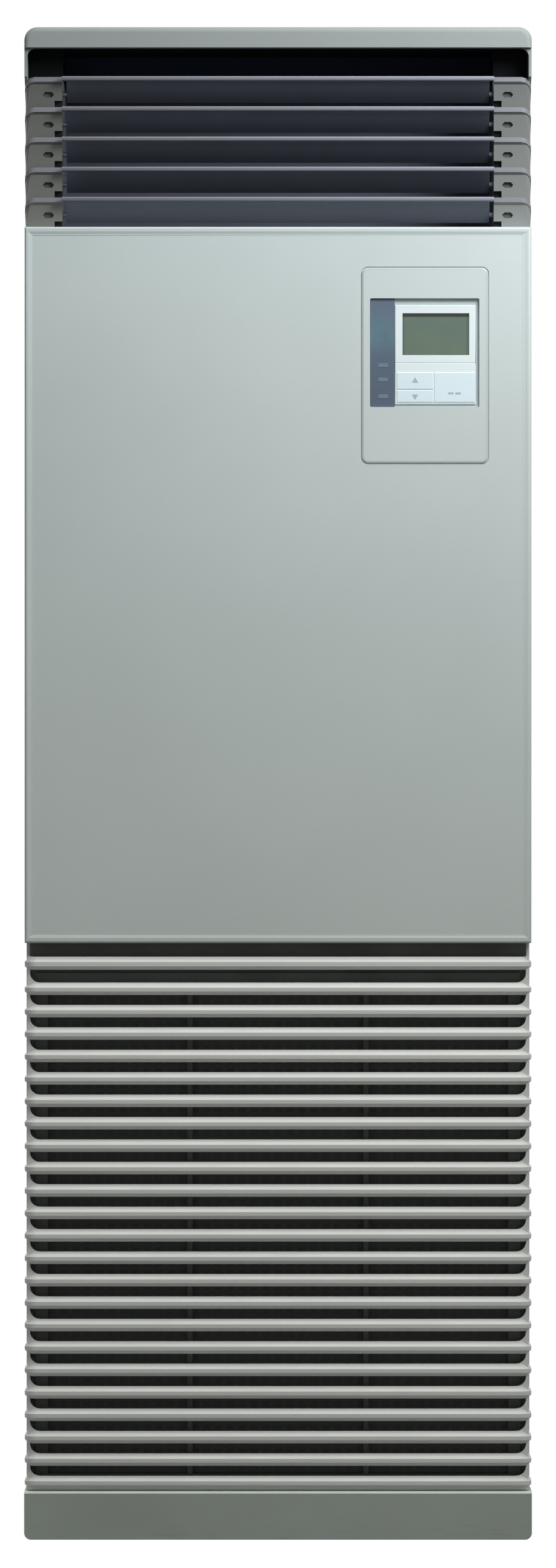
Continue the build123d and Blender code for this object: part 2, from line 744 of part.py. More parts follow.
right_corner = turned_corner(trim_outer_x, trim_front_y, slat_plan_r)
left_corner = [(-x, y) for x, y in reversed(right_corner)]
with BuildPart() as slats:
    for top_z, height in zip(slat_tops, slat_heights):
        with BuildSketch(Plane.XY.offset(top_z - height)):
            with BuildLine():
                Polyline(
                    (-trim_outer_x, seam_y),
                    *left_corner,
                    *right_corner,
                    (trim_outer_x, seam_y),
                    (trim_outer_x - slat_depth, seam_y),
                    (trim_outer_x - slat_depth, trim_front_y + slat_depth),
                    (slat_depth - trim_outer_x, trim_front_y + slat_depth),
                    (slat_depth - trim_outer_x, seam_y),
                    close=True,
                )
            make_face()
        extrude(amount=height)
    nose_limit_y = trim_front_y + slat_plan_r / 2
    nose_limit_x = trim_outer_x - slat_depth / 2
    slat_bottoms = [top_z - height for top_z, height in zip(slat_tops, slat_heights)]
    for levels, bevel in ((slat_tops, slat_brow), (slat_bottoms, slat_chin)):
        level_edges = slats.edges().filter_by(
            lambda edge: edge.bounding_box().size.Z < slat_chin
            and min(abs(edge.center().Z - level) for level in levels) < slat_chin / 2
        )
        nose_edges = level_edges.filter_by(
            lambda edge: edge.center().Y < nose_limit_y
            or abs(edge.center().X) > nose_limit_x
            and edge.center().Y < seam_y - slat_depth / 2
        )
        chamfer(nose_edges, length=bevel)

plate_outer_x = trim_outer_x - plate_inset
plate_front_y = trim_front_y + plate_setback
plate_back_y = plate_front_y + plate_thickness
slot_half_x = plate_outer_x - grille_return
with BuildPart() as inlet_grille:
    with BuildSketch(Plane.XY.offset(grille_bottom_z)):
        with BuildLine():
            Polyline(
                (-plate_outer_x, seam_y),
                (-plate_outer_x, plate_front_y),
                (plate_outer_x, plate_front_y),
                (plate_outer_x, seam_y),
                (slot_half_x, seam_y),
                (slot_half_x, plate_back_y),
                (-slot_half_x, plate_back_y),
                (-slot_half_x, seam_y),
                close=True,
            )
        make_face()
    extrude(amount=head_slat_top_z - grille_bottom_z)
    with BuildSketch(Plane.XZ.offset(-plate_front_y)):
        for upper, lower in zip(range(slat_count), range(1, slat_count + 1)):
            slot_top_z = slat_tops[upper] - slat_heights[upper]
            slot_bottom_z = slat_tops[lower]
            with BuildLine():
                Polyline(
                    (-slot_half_x, slot_top_z),
                    (slot_half_x, slot_top_z),
                    (slot_half_x, slot_bottom_z + slot_bevel),
                    (slot_half_x - slot_bevel, slot_bottom_z),
                    (slot_bevel - slot_half_x, slot_bottom_z),
                    (-slot_half_x, slot_bottom_z + slot_bevel),
                    close=True,
                )
            make_face()
    extrude(amount=-plate_thickness, mode=Mode.SUBTRACT)
    add(slats.part)
inlet_grille.part.label = "inlet_grille"
export_step(inlet_grille.part, "parts/inlet_grille.step")


# Air filter: a frame with two bars and a net behind the grille, with a stepped rail above
filter_half_x = trim_outer_x - slat_depth - filter_side_gap
filter_bottom_z = grille_bottom_z + filter_bottom_gap
filter_top_z = head_slat_top_z - filter_top_drop
with BuildPart() as filter_frame:
    with BuildSketch(Plane.XZ.offset(-seam_y)):
        with Locations((0, (filter_bottom_z + filter_top_z) / 2)):
            Rectangle(2 * filter_half_x, filter_top_z - filter_bottom_z)
            Rectangle(
                2 * (filter_half_x - filter_border),
                filter_top_z - filter_bottom_z - 2 * filter_border,
                mode=Mode.SUBTRACT,
            )
    extrude(amount=filter_depth)
    with BuildSketch(Plane.XZ.offset(net_depth - seam_y)):
        with Locations((0, (filter_bottom_z + filter_top_z) / 2)):
            with GridLocations(2 * filter_bar_x, 0, 2, 1):
                Rectangle(filter_bar_width, filter_top_z - filter_bottom_z - filter_border)
    extrude(amount=filter_depth - net_depth)
filter_frame.part.label = "filter_frame"
export_step(filter_frame.part, "parts/filter_frame.step")

with BuildPart() as filter_net:
    with BuildSketch(Plane.XZ.offset(-(seam_y - net_depth + net_thickness))):
        with Locations((0, (filter_bottom_z + filter_top_z) / 2)):
            Rectangle(
                2 * (filter_half_x - filter_border),
                filter_top_z - filter_bottom_z - 2 * filter_border,
            )
    extrude(amount=net_thickness)
filter_net.part.label = "filter_net"
export_step(filter_net.part, "parts/filter_net.step")

rail_step_z = head_slat_top_z + rail_gap
with BuildPart() as middle_rail:
    with BuildSketch(Plane.XZ.offset(-seam_y)):
        with Locations((0, (filter_top_z + front_bottom_z) / 2)):
            Rectangle(2 * filter_half_x, front_bottom_z - filter_top_z)
        with Locations((0, (rail_step_z + front_bottom_z) / 2)):
            Rectangle(2 * (trim_outer_x - rail_inset), front_bottom_z - rail_step_z)
    extrude(amount=rail_depth)
middle_rail.part.label = "middle_rail"
export_step(middle_rail.part, "parts/middle_rail.step")
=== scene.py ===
"""Looks of a floor-standing split air conditioner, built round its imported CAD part."""

import json
import math

import bmesh
import bpy
from bpy.props import FloatProperty, FloatVectorProperty, IntProperty, PointerProperty
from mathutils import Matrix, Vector


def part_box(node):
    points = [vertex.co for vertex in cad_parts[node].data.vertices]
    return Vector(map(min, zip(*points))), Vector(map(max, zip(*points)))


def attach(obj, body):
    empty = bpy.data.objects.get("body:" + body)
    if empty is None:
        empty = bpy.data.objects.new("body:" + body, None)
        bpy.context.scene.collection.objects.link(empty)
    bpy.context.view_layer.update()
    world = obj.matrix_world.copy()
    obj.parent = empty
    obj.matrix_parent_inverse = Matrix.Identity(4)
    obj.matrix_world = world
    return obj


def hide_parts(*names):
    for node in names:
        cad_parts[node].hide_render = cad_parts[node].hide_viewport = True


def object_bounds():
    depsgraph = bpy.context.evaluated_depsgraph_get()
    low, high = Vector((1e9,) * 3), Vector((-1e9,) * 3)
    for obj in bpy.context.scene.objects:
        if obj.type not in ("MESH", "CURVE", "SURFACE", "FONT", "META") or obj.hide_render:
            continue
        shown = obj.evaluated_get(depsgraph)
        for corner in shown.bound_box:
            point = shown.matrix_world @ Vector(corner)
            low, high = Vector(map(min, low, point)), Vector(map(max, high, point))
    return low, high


bl_info = {
    "name": "Floor-standing air conditioner",
    "version": (1, 0, 0),
    "blender": (4, 5, 0),
    "location": "3D View > Sidebar > Air conditioner",
    "description": "Finishes, grille, fixings and controller details of a floor-standing indoor unit",
    "category": "Object",
}

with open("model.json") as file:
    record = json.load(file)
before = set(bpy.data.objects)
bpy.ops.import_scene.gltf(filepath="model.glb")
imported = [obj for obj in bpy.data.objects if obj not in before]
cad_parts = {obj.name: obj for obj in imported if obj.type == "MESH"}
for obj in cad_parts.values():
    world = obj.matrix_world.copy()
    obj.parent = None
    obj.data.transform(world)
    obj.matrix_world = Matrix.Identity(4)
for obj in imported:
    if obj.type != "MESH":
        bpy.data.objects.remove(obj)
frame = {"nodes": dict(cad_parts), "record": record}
CAD_LOW, CAD_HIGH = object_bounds()
BODY_OF_NODE = {
    node: body for body, nodes in frame["record"]["behaviour"]["bodies"].items() for node in nodes
}

# Boxes of the CAD nodes that the looks are measured from.
DOOR_LOW, DOOR_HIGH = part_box("front_panel")
SIDE_LOW, SIDE_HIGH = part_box("right_side_panel")
CAP_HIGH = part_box("top_cap")[1]
CHEEK_LOW, CHEEK_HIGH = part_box("outlet_cheek_right")
GRILLE_LOW, GRILLE_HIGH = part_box("inlet_grille")
COVER_LOW, COVER_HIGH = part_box("control_cover")
CARRIER_LOW, CARRIER_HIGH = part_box("controller_carrier")
FACE_LOW, FACE_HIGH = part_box("controller_face")
DISPLAY_LOW, DISPLAY_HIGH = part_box("controller_display")
LOUVER_TOP_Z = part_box("louver_lip_1")[1].z
LOUVER_PITCH = LOUVER_TOP_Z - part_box("louver_lip_2")[1].z

# Shapes, in metres and shares.
LOUVER_COUNT = 5
LOUVER_SLOPE = math.tan(math.radians(38))
LIP_BAND = 0.0052
WELD_DISTANCE = 1e-5
FLAT_ANGLE = math.radians(0.5)
SHARP_ANGLE = math.radians(35)
QUARTER_TURN = math.radians(90)
FRONT_SHARE = 0.97
GROOVE_DEPTH = 0.0007
FIELD_DEPTH = 0.0012
CAP_ROUND = 0.011
COVER_MARGIN = 0.015
CORNER_STEPS = 12
FACET_STEPS = 1
CREASE_STEPS = 2
SLOT_STEPS = 6
SLOT_CREASE = 0.0005
ARROW_CORNERS = 3
SCREW_CORNERS = 20
SCREW_CROWN = 0.72
RECESS_LENGTH = 1.1
RECESS_LEVEL = 0.9
SCREW_INSET = 0.012
SCREW_END = 0.03
SCREW_LEVELS = (0.62, 1.19)
LAMP_INSET = 0.0135
LAMP_RISES = (0.0525, 0.036, 0.0165)
DASH_LEVEL = 0.3
DASH_LENGTH = 1.5
DASH_HEIGHT = 0.5

# Tones by which a colour is multiplied, and where they fade, in metres and shares.
BLACK = (0, 0, 0, 1)
WHITE = (1, 1, 1, 1)
# Painted light on the coat: a tint, warmer towards the bottom and cooler towards the top.
COAT_LIGHT_TINT = ((1.0, 0.985, 0.955), (0.985, 1.0, 1.02))
# Painted shade on the cheeks: darker towards the top, under the cap.
CHEEK_CAP_SHADE_TONES = ((1.3, 1.3, 1.3), (0.72, 0.72, 0.72))
# Painted light on the cheeks: darker on the left, lighter on the right.
CHEEK_SIDE_LIGHT_TONES = ((0.84, 0.84, 0.8), (1.22, 1.25, 1.3))
# Painted light on the louver lips: darker on the left, lighter on the right.
LIP_SIDE_LIGHT_TONES = ((0.75, 0.75, 0.75), (1.6, 1.6, 1.65))
# Painted shade on the blades: each row lighter at its top and darker towards its bottom.
BLADE_SHADE_TONES = (1.3, 0.65)
BLADE_SHADE_FADE = (0.1, 0.75)
BLADE_ROWS = 10
SCOOP_FADE = (0.008, 0.018)
SIDE_FADE = (-0.004, 0.003)
SCUFF_TOP = 0.03
SCUFF_STRETCH = (30.0, 30.0, 260.0)
SCUFF_DETAIL = 5.0
SCUFF_RANGE = (0.55, 0.75)
SCUFF_SHARE = 0.35
SCUFF_TONE = 0.55
# Painted highlight along the plinth's top edge, where its chamfer catches the light.
PLINTH_HIGHLIGHT_BAND = (-0.0028, -0.0022)
PLINTH_HIGHLIGHT_TONE = 1.7
# Painted light and sheen on the controller's slate strip: darker low, lighter high, with a teal band across
# it.
STRIP_LIGHT_TONES = ((0.0, 0.8), (0.45, 0.95), (1.0, 1.3))
SHEEN_BAND = ((0.45, BLACK), (0.6, WHITE), (0.7, WHITE), (0.85, BLACK))
SHEEN_RANGE = (0.4, 0.62)
SHEEN_SHARES = (0.05, 0.5)
FILM_RANGE = (0.4, 0.65)
FILM_TONE = 0.98
FILM_WARMTH = (1.08, 1.05, 0.92)
FILM_TOP_SHADOW = (-0.0048, -0.0034)
FILM_TOP_TONE = 0.16
FILM_LEFT_SHADOW = (0.003, 0.5)
FILM_RIGHT_SHADOW = (-0.0045, 0.6)
TEXTURE_RANGE = (0.3, 0.7)
CLOUD_SCALE = 4.0
GLOSS_SCALE = 23.0
GLOSS_SPREAD = 0.05
GRAIN_DETAIL = 2.0
GRAIN_STRENGTH = 0.25
WAVE_RATE = 20
NET_PITCH = 0.0022
FIN_PITCH = 0.0021

# Each coat has its colour's name, roughness, grains to the metre, grain depth, mottling and specular level.
COATS = {
    "panel_powder_coat": ("panel_coat", 0.42, 750.0, 0.00025, 0.03, 0.5),
    "groove_coat": ("groove_coat", 0.5, 750.0, 0.00025, 0.03, 0.5),
    "cap_plastic": ("cap_plastic", 0.6, 1800.0, 0.00012, 0.02, 0.25),
    "cheek_plastic": ("cheek_plastic", 0.5, 1800.0, 0.00012, 0.02, 0.5),
    "cheek_lip_plastic": ("cheek_lip", 0.45, 1800.0, 0.0001, 0.02, 0.5),
    "cover_plastic": ("panel_coat", 0.45, 1400.0, 0.00012, 0.02, 0.5),
    "cover_rim_plastic": ("cover_rim", 0.45, 1400.0, 0.00012, 0.02, 0.5),
    "mark_inlay": ("mark_shade_dark", 0.7, 900.0, 0.0002, 0.1, 0.2),
    "notch_inlay": ("duct_lining_and_notch_shade", 0.7, 900.0, 0.0002, 0.1, 0.2),
    "blade_plastic": ("blade_plastic", 0.46, 1500.0, 0.00015, 0.05, 0.5),
    "lip_plastic": ("lip_plastic", 0.42, 1500.0, 0.0001, 0.02, 0.5),
    "duct_lining": ("duct_lining_and_notch_shade", 0.8, 420.0, 0.0006, 0.1, 0.1),
    "filter_plastic": ("net_plastic", 0.55, 900.0, 0.0002, 0.05, 0.5),
    "grille_plastic": ("grille_plastic", 0.44, 1800.0, 0.0001, 0.02, 0.5),
    "controller_white": ("face_white", 0.36, 1600.0, 0.00008, 0.015, 0.5),
    "key_plastic": ("key_white", 0.42, 1600.0, 0.0001, 0.02, 0.5),
    "lamp_slate": ("lamp_slate", 0.3, 900.0, 0.0001, 0.03, 0.5),
    "mark_paint": ("mark_grey", 0.45, 900.0, 0.0001, 0.03, 0.5),
}

# Each lamp has its place, the point that it looks at, its width and its power's name.
LAMPS = {
    "key_lamp": ((0.75, -1.0, 2.2), (0.1, -0.1, 1.35), 0.55, "key_power"),
    "ceiling_lamp": ((0.0, -0.9, 4.6), (0.0, -0.9, 0.0), 0.6, "ceiling_power"),
    "back_lamp": ((-0.9, 1.6, 2.4), (0.0, 0.1, 0.9), 0.8, "back_power"),
}
FLOOR_REACH = 30.0
FLOOR_GREY = (0.15, 0.15, 0.15, 1)
FLOOR_GLOW = 0.93


def linear(red, green, blue):
    """An 8-bit display colour as the linear colour that a shader takes."""
    channels = []
    for value in (red, green, blue):
        share = value / 255
        channels.append(share / 12.92 if share <= 0.04045 else ((share + 0.055) / 1.055) ** 2.4)
    return tuple(channels)


def colour(name, description, *display):
    """A colour that a user may change."""
    return FloatVectorProperty(
        name=name,
        description=description,
        subtype="COLOR",
        size=3,
        min=0,
        max=1,
        default=linear(*display),
    )


def length(name, description, default):
    """A length in metres that a user may change."""
    return FloatProperty(
        name=name, description=description, default=default, min=0, precision=4, unit="LENGTH"
    )


def power(name, description, default):
    """A lamp's power in watts that a user may change."""
    return FloatProperty(name=name, description=description, default=default, min=0, unit="POWER")


class FinishSettings(bpy.types.PropertyGroup):
    """Colours of the cabinet's finishes."""

    panel_coat: colour("Panel coat", "Powder coat on the sheet steel", 204, 215, 213)
    # Painted shade on the floors of the pressed grooves.
    groove_coat: colour("Groove coat", "Coat in the pressed grooves", 178, 188, 186)
    cap_plastic: colour("Cap plastic", "Moulded top cap", 148, 156, 155)
    grille_plastic: colour("Grille plastic", "Slats of the inlet grille", 225, 228, 222)
    cheek_plastic: colour("Cheek plastic", "Cheeks beside the louvers", 112, 115, 112)
    lip_plastic: colour("Lip plastic", "Lips of the louvers", 108, 112, 120)
    cheek_lip: colour("Cheek lip", "Lips of the cheeks", 124, 128, 135)
    # Painted shade on the faces of the cover's rim that turn away from the front.
    cover_rim: colour("Cover rim", "Sloping rim of the control cover", 188, 197, 197)
    plinth_paint: colour("Plinth paint", "Paint on the base", 164, 173, 164)
    blade_plastic: colour("Blade plastic", "Louver blades", 104, 109, 123)
    # This black is also the painted shade at the back of the cheeks' notches.
    duct_lining_and_notch_shade: colour("Duct lining", "Lining at the outlet's sides and edges", 14, 16, 20)
    scoop_foam: colour("Scoop lining", "Lining at the top of the scoop", 62, 72, 88)
    # Painted shade at the back of the cheeks' marks.
    mark_shade_dark: colour("Mark inlay", "Inlays in the cheeks' marks", 90, 92, 90)
    net_plastic: colour("Filter plastic", "Filter frame and net", 40, 43, 38)
    fin_metal: colour("Fin metal", "Fins of the cooling coil", 190, 194, 196)
    strip_slate: colour("Strip slate", "Slate strip on the controller", 84, 100, 118)
    strip_teal: colour("Strip teal", "Sheen on the slate strip", 84, 132, 138)
    lamp_slate: colour("Lamp slate", "Lamp bars on the slate strip", 104, 124, 142)
    recess_grey: colour("Recess grey", "Recess round the controller's face", 195, 206, 209)
    face_white: colour("Face white", "Face of the controller", 232, 244, 247)
    key_white: colour("Key white", "Keys of the controller", 226, 244, 251)
    mark_grey: colour("Mark grey", "Marks on the keys", 168, 190, 198)
    display_film: colour("Display film", "Film over the display", 97, 117, 105)
    screw_steel: colour("Screw steel", "Plated screws", 176, 178, 178)
    edge_width: length("Edge rounding", "Rounding along sheet and moulded edges", 0.0004)


class DoorSettings(bpy.types.PropertyGroup):
    """Fit of the front door, the cap, the control cover and the controller."""

    side_zone: length("Side zone", "Strip along each side that moves as one", 0.02)
    side_inset: length("Side inset", "How far each side stands in, flush with the trim", 0.002)
    side_slope: length("Side slope", "From a side to the foot of its slope", 0.0095)
    top_slope: length("Top slope", "From the top to the foot of its slope", 0.0095)
    bottom_slope: length("Bottom slope", "From the bottom to the foot of its slope", 0.01)
    cap_round: length("Cap rounding", "Rounding of the cap's upper corners", 0.015)
    cover_trim: length("Cover trim", "How far the cover's right side comes in", 0.0052)
    controller_shift: length("Controller shift", "How far the controller moves left", 0.002)
    face_drop: length("Face drop", "How far the controller's face is lowered", 0.002)
    face_trim: length("Face trim", "How far the face's right side comes in", 0.0015)
    display_rise: length("Display rise", "How far the display's top is raised", 0.0014)


class GrilleSettings(bpy.types.PropertyGroup):
    """Sizes of the inlet grille."""

    slat_count: IntProperty(
        name="Slats", description="Slats below the head slat", default=23, min=2, max=60
    )
    slat_pitch: length("Slat pitch", "Distance from slat to slat", 0.02595)
    slat_height: length("Slat height", "Height of a slat", 0.0142)
    slat_depth: length("Slat depth", "Depth of a slat from front to back", 0.011)
    brow_height: length("Brow", "Slope along the top of a slat's front", 0.0057)
    chin_height: length("Chin", "Slope along the bottom of a slat's front", 0.004)
    crease_radius: length("Crease radius", "Rounding between a slat's slopes", 0.0008)
    corner_radius: length("Corner radius", "Bend of the slats at the cabinet's corners", 0.014)
    head_height: length("Head slat height", "Height of the uppermost slat", 0.015)
    head_gap: length("Head gap", "Gap under the uppermost slat", 0.0149)
    plate_inset: length("Plate inset", "From the slats' ends to the plate's ends", 0.0035)
    plate_setback: length("Plate setback", "From the slats' front to the plate", 0.006)
    plate_thickness: length("Plate thickness", "Slotted plate behind the slats", 0.006)
    wall_thickness: length("Wall thickness", "Side walls behind the plate", 0.003)
    slot_radius: length("Slot radius", "Rounded lower corners of the slots", 0.011)


class CheekSettings(bpy.types.PropertyGroup):
    """Places and sizes of the dark inlays in the cheeks' marks and notches, which paint the shade in them.
    """

    mark_inset: length("Mark inset", "From the cabinet's side to a mark's middle", 0.029)
    mark_down: length("Mark drop", "From a lip's top to a mark's middle", 0.020)
    mark_depth: length("Mark depth", "From the cheek's front to a mark's back", 0.010)
    mark_width: length("Mark width", "Width of a mark's inlay", 0.0114)
    mark_height: length("Mark height", "Height of a mark's inlay", 0.0058)
    notch_depth: length("Notch depth", "From the cheek's front to a notch's back", 0.014)
    notch_width: length("Notch width", "Width of a notch's inlay", 0.0088)
    notch_height: length("Notch height", "Height of a notch's inlay", 0.0078)
    inlay_thickness: length("Inlay thickness", "Thickness of an inlay", 0.0008)


class ControllerSettings(bpy.types.PropertyGroup):
    """Sizes of the controller's lamps and marks."""

    lamp_width: length("Lamp width", "Width of a lamp bar", 0.011)
    lamp_height: length("Lamp height", "Height of a lamp bar", 0.0045)
    lamp_raise: length("Lamp rise", "How far a lamp bar stands out", 0.0003)
    mark_size: length("Mark size", "Size of an arrow on a key", 0.0042)
    mark_raise: length("Mark rise", "How far a mark stands out", 0.00012)


class FixingSettings(bpy.types.PropertyGroup):
    """Sizes of the screws."""

    head_radius: length("Head radius", "Radius of a screw head", 0.0042)
    head_height: length("Head height", "Height of a screw head", 0.0018)
    recess_width: length("Recess width", "Width of the cross recess", 0.0011)


class StageSettings(bpy.types.PropertyGroup):
    """Camera and lamps."""

    camera_distance: length("Camera distance", "From the cabinet's front", 7.0)
    camera_height: length("Camera height", "Level line of sight", 0.874)
    frame_height: length("Frame height", "Height that the picture takes in", 1.813)
    key_power: power("Key lamp", "Power of the main lamp", 18)
    ceiling_power: power("Ceiling lamp", "Power of the lamp overhead", 40)
    back_power: power("Back lamp", "Power of the lamp behind", 22)
    fill_level: FloatProperty(
        name="Fill level", description="Even light from all round", default=0.235, min=0, max=1
    )


class NodeTree:
    """A node tree under construction."""

    def __init__(self, tree):
        self.tree = tree

    def feed(self, node, inputs):
        """Links each input named to a socket, or sets it to a plain value."""
        for name, value in inputs.items():
            if isinstance(value, bpy.types.NodeSocket):
                self.tree.links.new(value, node.inputs[name])
            else:
                node.inputs[name].default_value = value

    def node(self, kind, inputs=None, **settings):
        """The outputs of a new node with its properties set and its inputs fed."""
        made = self.tree.nodes.new(kind)
        for name, value in settings.items():
            setattr(made, name, value)
        self.feed(made, inputs or {})
        return made.outputs

    def math(self, operation, first, second=0.0):
        """One sum of one or two numbers."""
        return self.node("ShaderNodeMath", {0: first, 1: second}, operation=operation)["Value"]

    def mapped(self, value, from_low, from_high, to_low=0.0, to_high=1.0):
        """A value brought from one range into another and kept there."""
        inputs = {"From Min": from_low, "From Max": from_high, "To Min": to_low, "To Max": to_high}
        return self.node("ShaderNodeMapRange", {"Value": value, **inputs})["Result"]


class FinishTree(NodeTree):
    """A finish under construction, laid out in the object's own coordinates."""

    def __init__(self, name):
        self.material = bpy.data.materials.new(name)
        self.material.use_nodes = True
        super().__init__(self.material.node_tree)
        self.place = self.node("ShaderNodeTexCoord")["Object"]

    def axis(self, name):
        """The place along one axis."""
        return self.node("ShaderNodeSeparateXYZ", {"Vector": self.place})[name]

    def noise(self, scale, detail=3.0, place=None):
        """A noise texture's value at a scale in features to the metre."""
        place = self.place if place is None else place
        inputs = {"Scale": scale, "Detail": detail, "Vector": place}
        return self.node("ShaderNodeTexNoise", inputs)["Fac"]

    def waves(self, direction, pitch):
        """An even wave along an axis."""
        inputs = {"Scale": 1 / (WAVE_RATE * pitch), "Distortion": 0.0, "Vector": self.place}
        return self.node("ShaderNodeTexWave", inputs, bands_direction=direction)["Fac"]

    def spread(self, value, low, high):
        """A texture's value brought between two limits."""
        return self.mapped(value, *TEXTURE_RANGE, low, high)

    def ramp(self, value, stops):
        """A colour ramp through several colours along a value."""
        ramp = self.tree.nodes.new("ShaderNodeValToRGB")
        elements = ramp.color_ramp.elements
        while len(elements) < len(stops):
            elements.new(0.5)
        for element, (position, stop_colour) in zip(elements, stops):
            element.position = position
            element.color = stop_colour
        self.feed(ramp, {"Fac": value})
        return ramp.outputs["Color"]

    def toned(self, value, base, low_tone, high_tone, limits=TEXTURE_RANGE):
        """One colour from a darker to a lighter tone along a texture's value."""
        tones = (scaled(base, low_tone), scaled(base, high_tone))
        return self.ramp(value, list(zip(limits, tones)))

    def mixed(self, share, first, second, blend_type="MIX"):
        """Two colours mixed by a share; each may be a socket or a plain colour."""
        made = self.tree.nodes.new("ShaderNodeMix")
        made.data_type = "RGBA"
        made.blend_type = blend_type
        places = {slot.name: place for place, slot in enumerate(made.inputs) if slot.enabled}
        self.feed(made, {places["Factor"]: share, places["A"]: first, places["B"]: second})
        return next(slot for slot in made.outputs if slot.enabled)

    def close(self, inputs, relief=None, strength=GRAIN_STRENGTH, depth=0.0):
        """Ends the tree with its shader's inputs and with relief from a texture's value."""
        shader = self.tree.nodes["Principled BSDF"]
        self.feed(shader, inputs)
        if relief is not None:
            bump = {"Strength": strength, "Distance": depth, "Height": relief}
            self.feed(shader, {"Normal": self.node("ShaderNodeBump", bump)["Normal"]})
        return self.material


def scaled(base, factor=1.0):
    """A colour made lighter or darker, with full alpha."""
    return tuple(min(1.0, channel * factor) for channel in base) + (1.0,)


def coated_finish(name, *shades):
    """Paint or moulded plastic: faint mottling, uneven gloss and a fine grain; painted light and shade, if
    given, tone it.
    """
    colour_name, roughness, grain_scale, grain_depth, mottling, specular = COATS[name]
    base = getattr(bpy.context.scene.finish_settings, colour_name)
    finish = FinishTree(name)
    tint = finish.toned(finish.noise(CLOUD_SCALE), base, 1 - mottling, 1 + mottling)
    for shade in shades:
        tint = finish.mixed(1.0, tint, shade(finish), "MULTIPLY")
    sheen = finish.noise(GLOSS_SCALE)
    gloss = finish.spread(sheen, roughness - GLOSS_SPREAD, roughness + GLOSS_SPREAD)
    inputs = {"Base Color": tint, "Roughness": gloss, "Specular IOR Level": specular}
    return finish.close(inputs, finish.noise(grain_scale, GRAIN_DETAIL), depth=grain_depth)


def shade_along(axis, low, high, tones):
    """Painted light and shade: a tone that runs evenly along an axis, red, green and blue apart."""

    def shade(finish):
        share = finish.mapped(finish.axis(axis), getattr(low, axis.lower()), getattr(high, axis.lower()))
        return finish.ramp(share, [(0.0, tones[0] + (1.0,)), (1.0, tones[1] + (1.0,))])

    return shade


def painted_shade_by_row(finish):
    """Painted shade: a tone that falls from the top to the bottom of each row of louvers."""
    bottom_z = LOUVER_TOP_Z - BLADE_ROWS * LOUVER_PITCH
    rows = finish.mapped(finish.axis("Z"), LOUVER_TOP_Z, bottom_z, 0.0, BLADE_ROWS)
    return finish.mapped(finish.math("FRACT", rows), *BLADE_SHADE_FADE, *BLADE_SHADE_TONES)


def scoop_finish(name, deep, slate, fade):
    """Duct lining that turns from slate behind the louvers to a deep tone above them."""
    finish = FinishTree(name)
    rise = finish.mapped(finish.axis("Z"), *(LOUVER_TOP_Z + level for level in fade))
    cloud = finish.noise(scale=11.0)
    foam = finish.toned(cloud, slate, low_tone=0.85, high_tone=1.0)
    inputs = {
        "Base Color": finish.mixed(rise, foam, scaled(deep)),
        "Roughness": finish.spread(cloud, low=0.75, high=0.85),
        "Specular IOR Level": 0.1,
    }
    return finish.close(inputs, finish.noise(scale=420.0, detail=GRAIN_DETAIL), depth=0.0006)


def plinth_finish(name, base, top_z):
    """Plinth paint: grainy, with scuffs towards the floor and a painted highlight along its top edge."""
    finish = FinishTree(name)
    clean = finish.toned(finish.noise(scale=7.0), base, low_tone=0.95, high_tone=1.04)
    low_band = finish.mapped(finish.axis("Z"), SCUFF_TOP, 0.0)
    stretched = finish.node("ShaderNodeMapping", {"Scale": SCUFF_STRETCH, "Vector": finish.place})
    scuffs = finish.noise(scale=1.0, detail=SCUFF_DETAIL, place=stretched["Vector"])
    scuff_share = finish.mapped(scuffs, *SCUFF_RANGE, 0.0, SCUFF_SHARE)
    wear = finish.math("MULTIPLY", scuff_share, low_band)
    worn = finish.mixed(wear, clean, scaled(base, SCUFF_TONE))
    # Painted highlight along the top edge.
    highlight_band = finish.mapped(finish.axis("Z"), *(top_z + level for level in PLINTH_HIGHLIGHT_BAND))
    inputs = {
        "Base Color": finish.mixed(highlight_band, worn, scaled(base, PLINTH_HIGHLIGHT_TONE)),
        "Roughness": finish.spread(scuffs, low=0.42, high=0.58),
    }
    return finish.close(inputs, finish.noise(scale=900.0, detail=GRAIN_DETAIL), depth=0.0002)


def woven_finish(name, base):
    """A net of fine threads that cross at right angles."""
    finish = FinishTree(name)
    weave = finish.math("MAXIMUM", finish.waves("X", NET_PITCH), finish.waves("Z", NET_PITCH))
    tint = finish.toned(weave, base, low_tone=0.25, high_tone=1.1, limits=(0.55, 0.9))
    return finish.close({"Base Color": tint, "Roughness": 0.62}, weave, strength=0.8, depth=0.0006)


def fin_finish(name, base):
    """Thin metal fins side by side."""
    finish = FinishTree(name)
    fins = finish.waves("X", FIN_PITCH)
    tint = finish.toned(fins, base, low_tone=0.2, high_tone=1.0, limits=(0.2, 0.8))
    inputs = {"Base Color": tint, "Metallic": 0.9, "Roughness": 0.38}
    return finish.close(inputs, fins, strength=0.7, depth=0.0008)


def carrier_finish(name, colours, split_x):
    """A slate strip with painted light, lighter towards its top, and a patchy painted teal sheen, beside a
    pale recess.
    """
    finish = FinishTree(name)
    rise = finish.mapped(finish.axis("Z"), CARRIER_LOW.z, CARRIER_HIGH.z)
    strip = finish.ramp(rise, [(level, scaled(colours.strip_slate, tone)) for level, tone in STRIP_LIGHT_TONES])
    band = finish.ramp(rise, SHEEN_BAND)
    patches = finish.mapped(finish.noise(scale=42.0), *SHEEN_RANGE, *SHEEN_SHARES)
    sheen = finish.mixed(finish.math("MULTIPLY", band, patches), strip, scaled(colours.strip_teal))
    beside = finish.math("GREATER_THAN", finish.axis("X"), split_x)
    speck = finish.noise(scale=600.0, detail=GRAIN_DETAIL)
    inputs = {
        "Base Color": finish.mixed(beside, sheen, scaled(colours.recess_grey)),
        "Roughness": finish.spread(speck, low=0.32, high=0.4),
    }
    return finish.close(inputs, speck, strength=0.15, depth=0.0001)


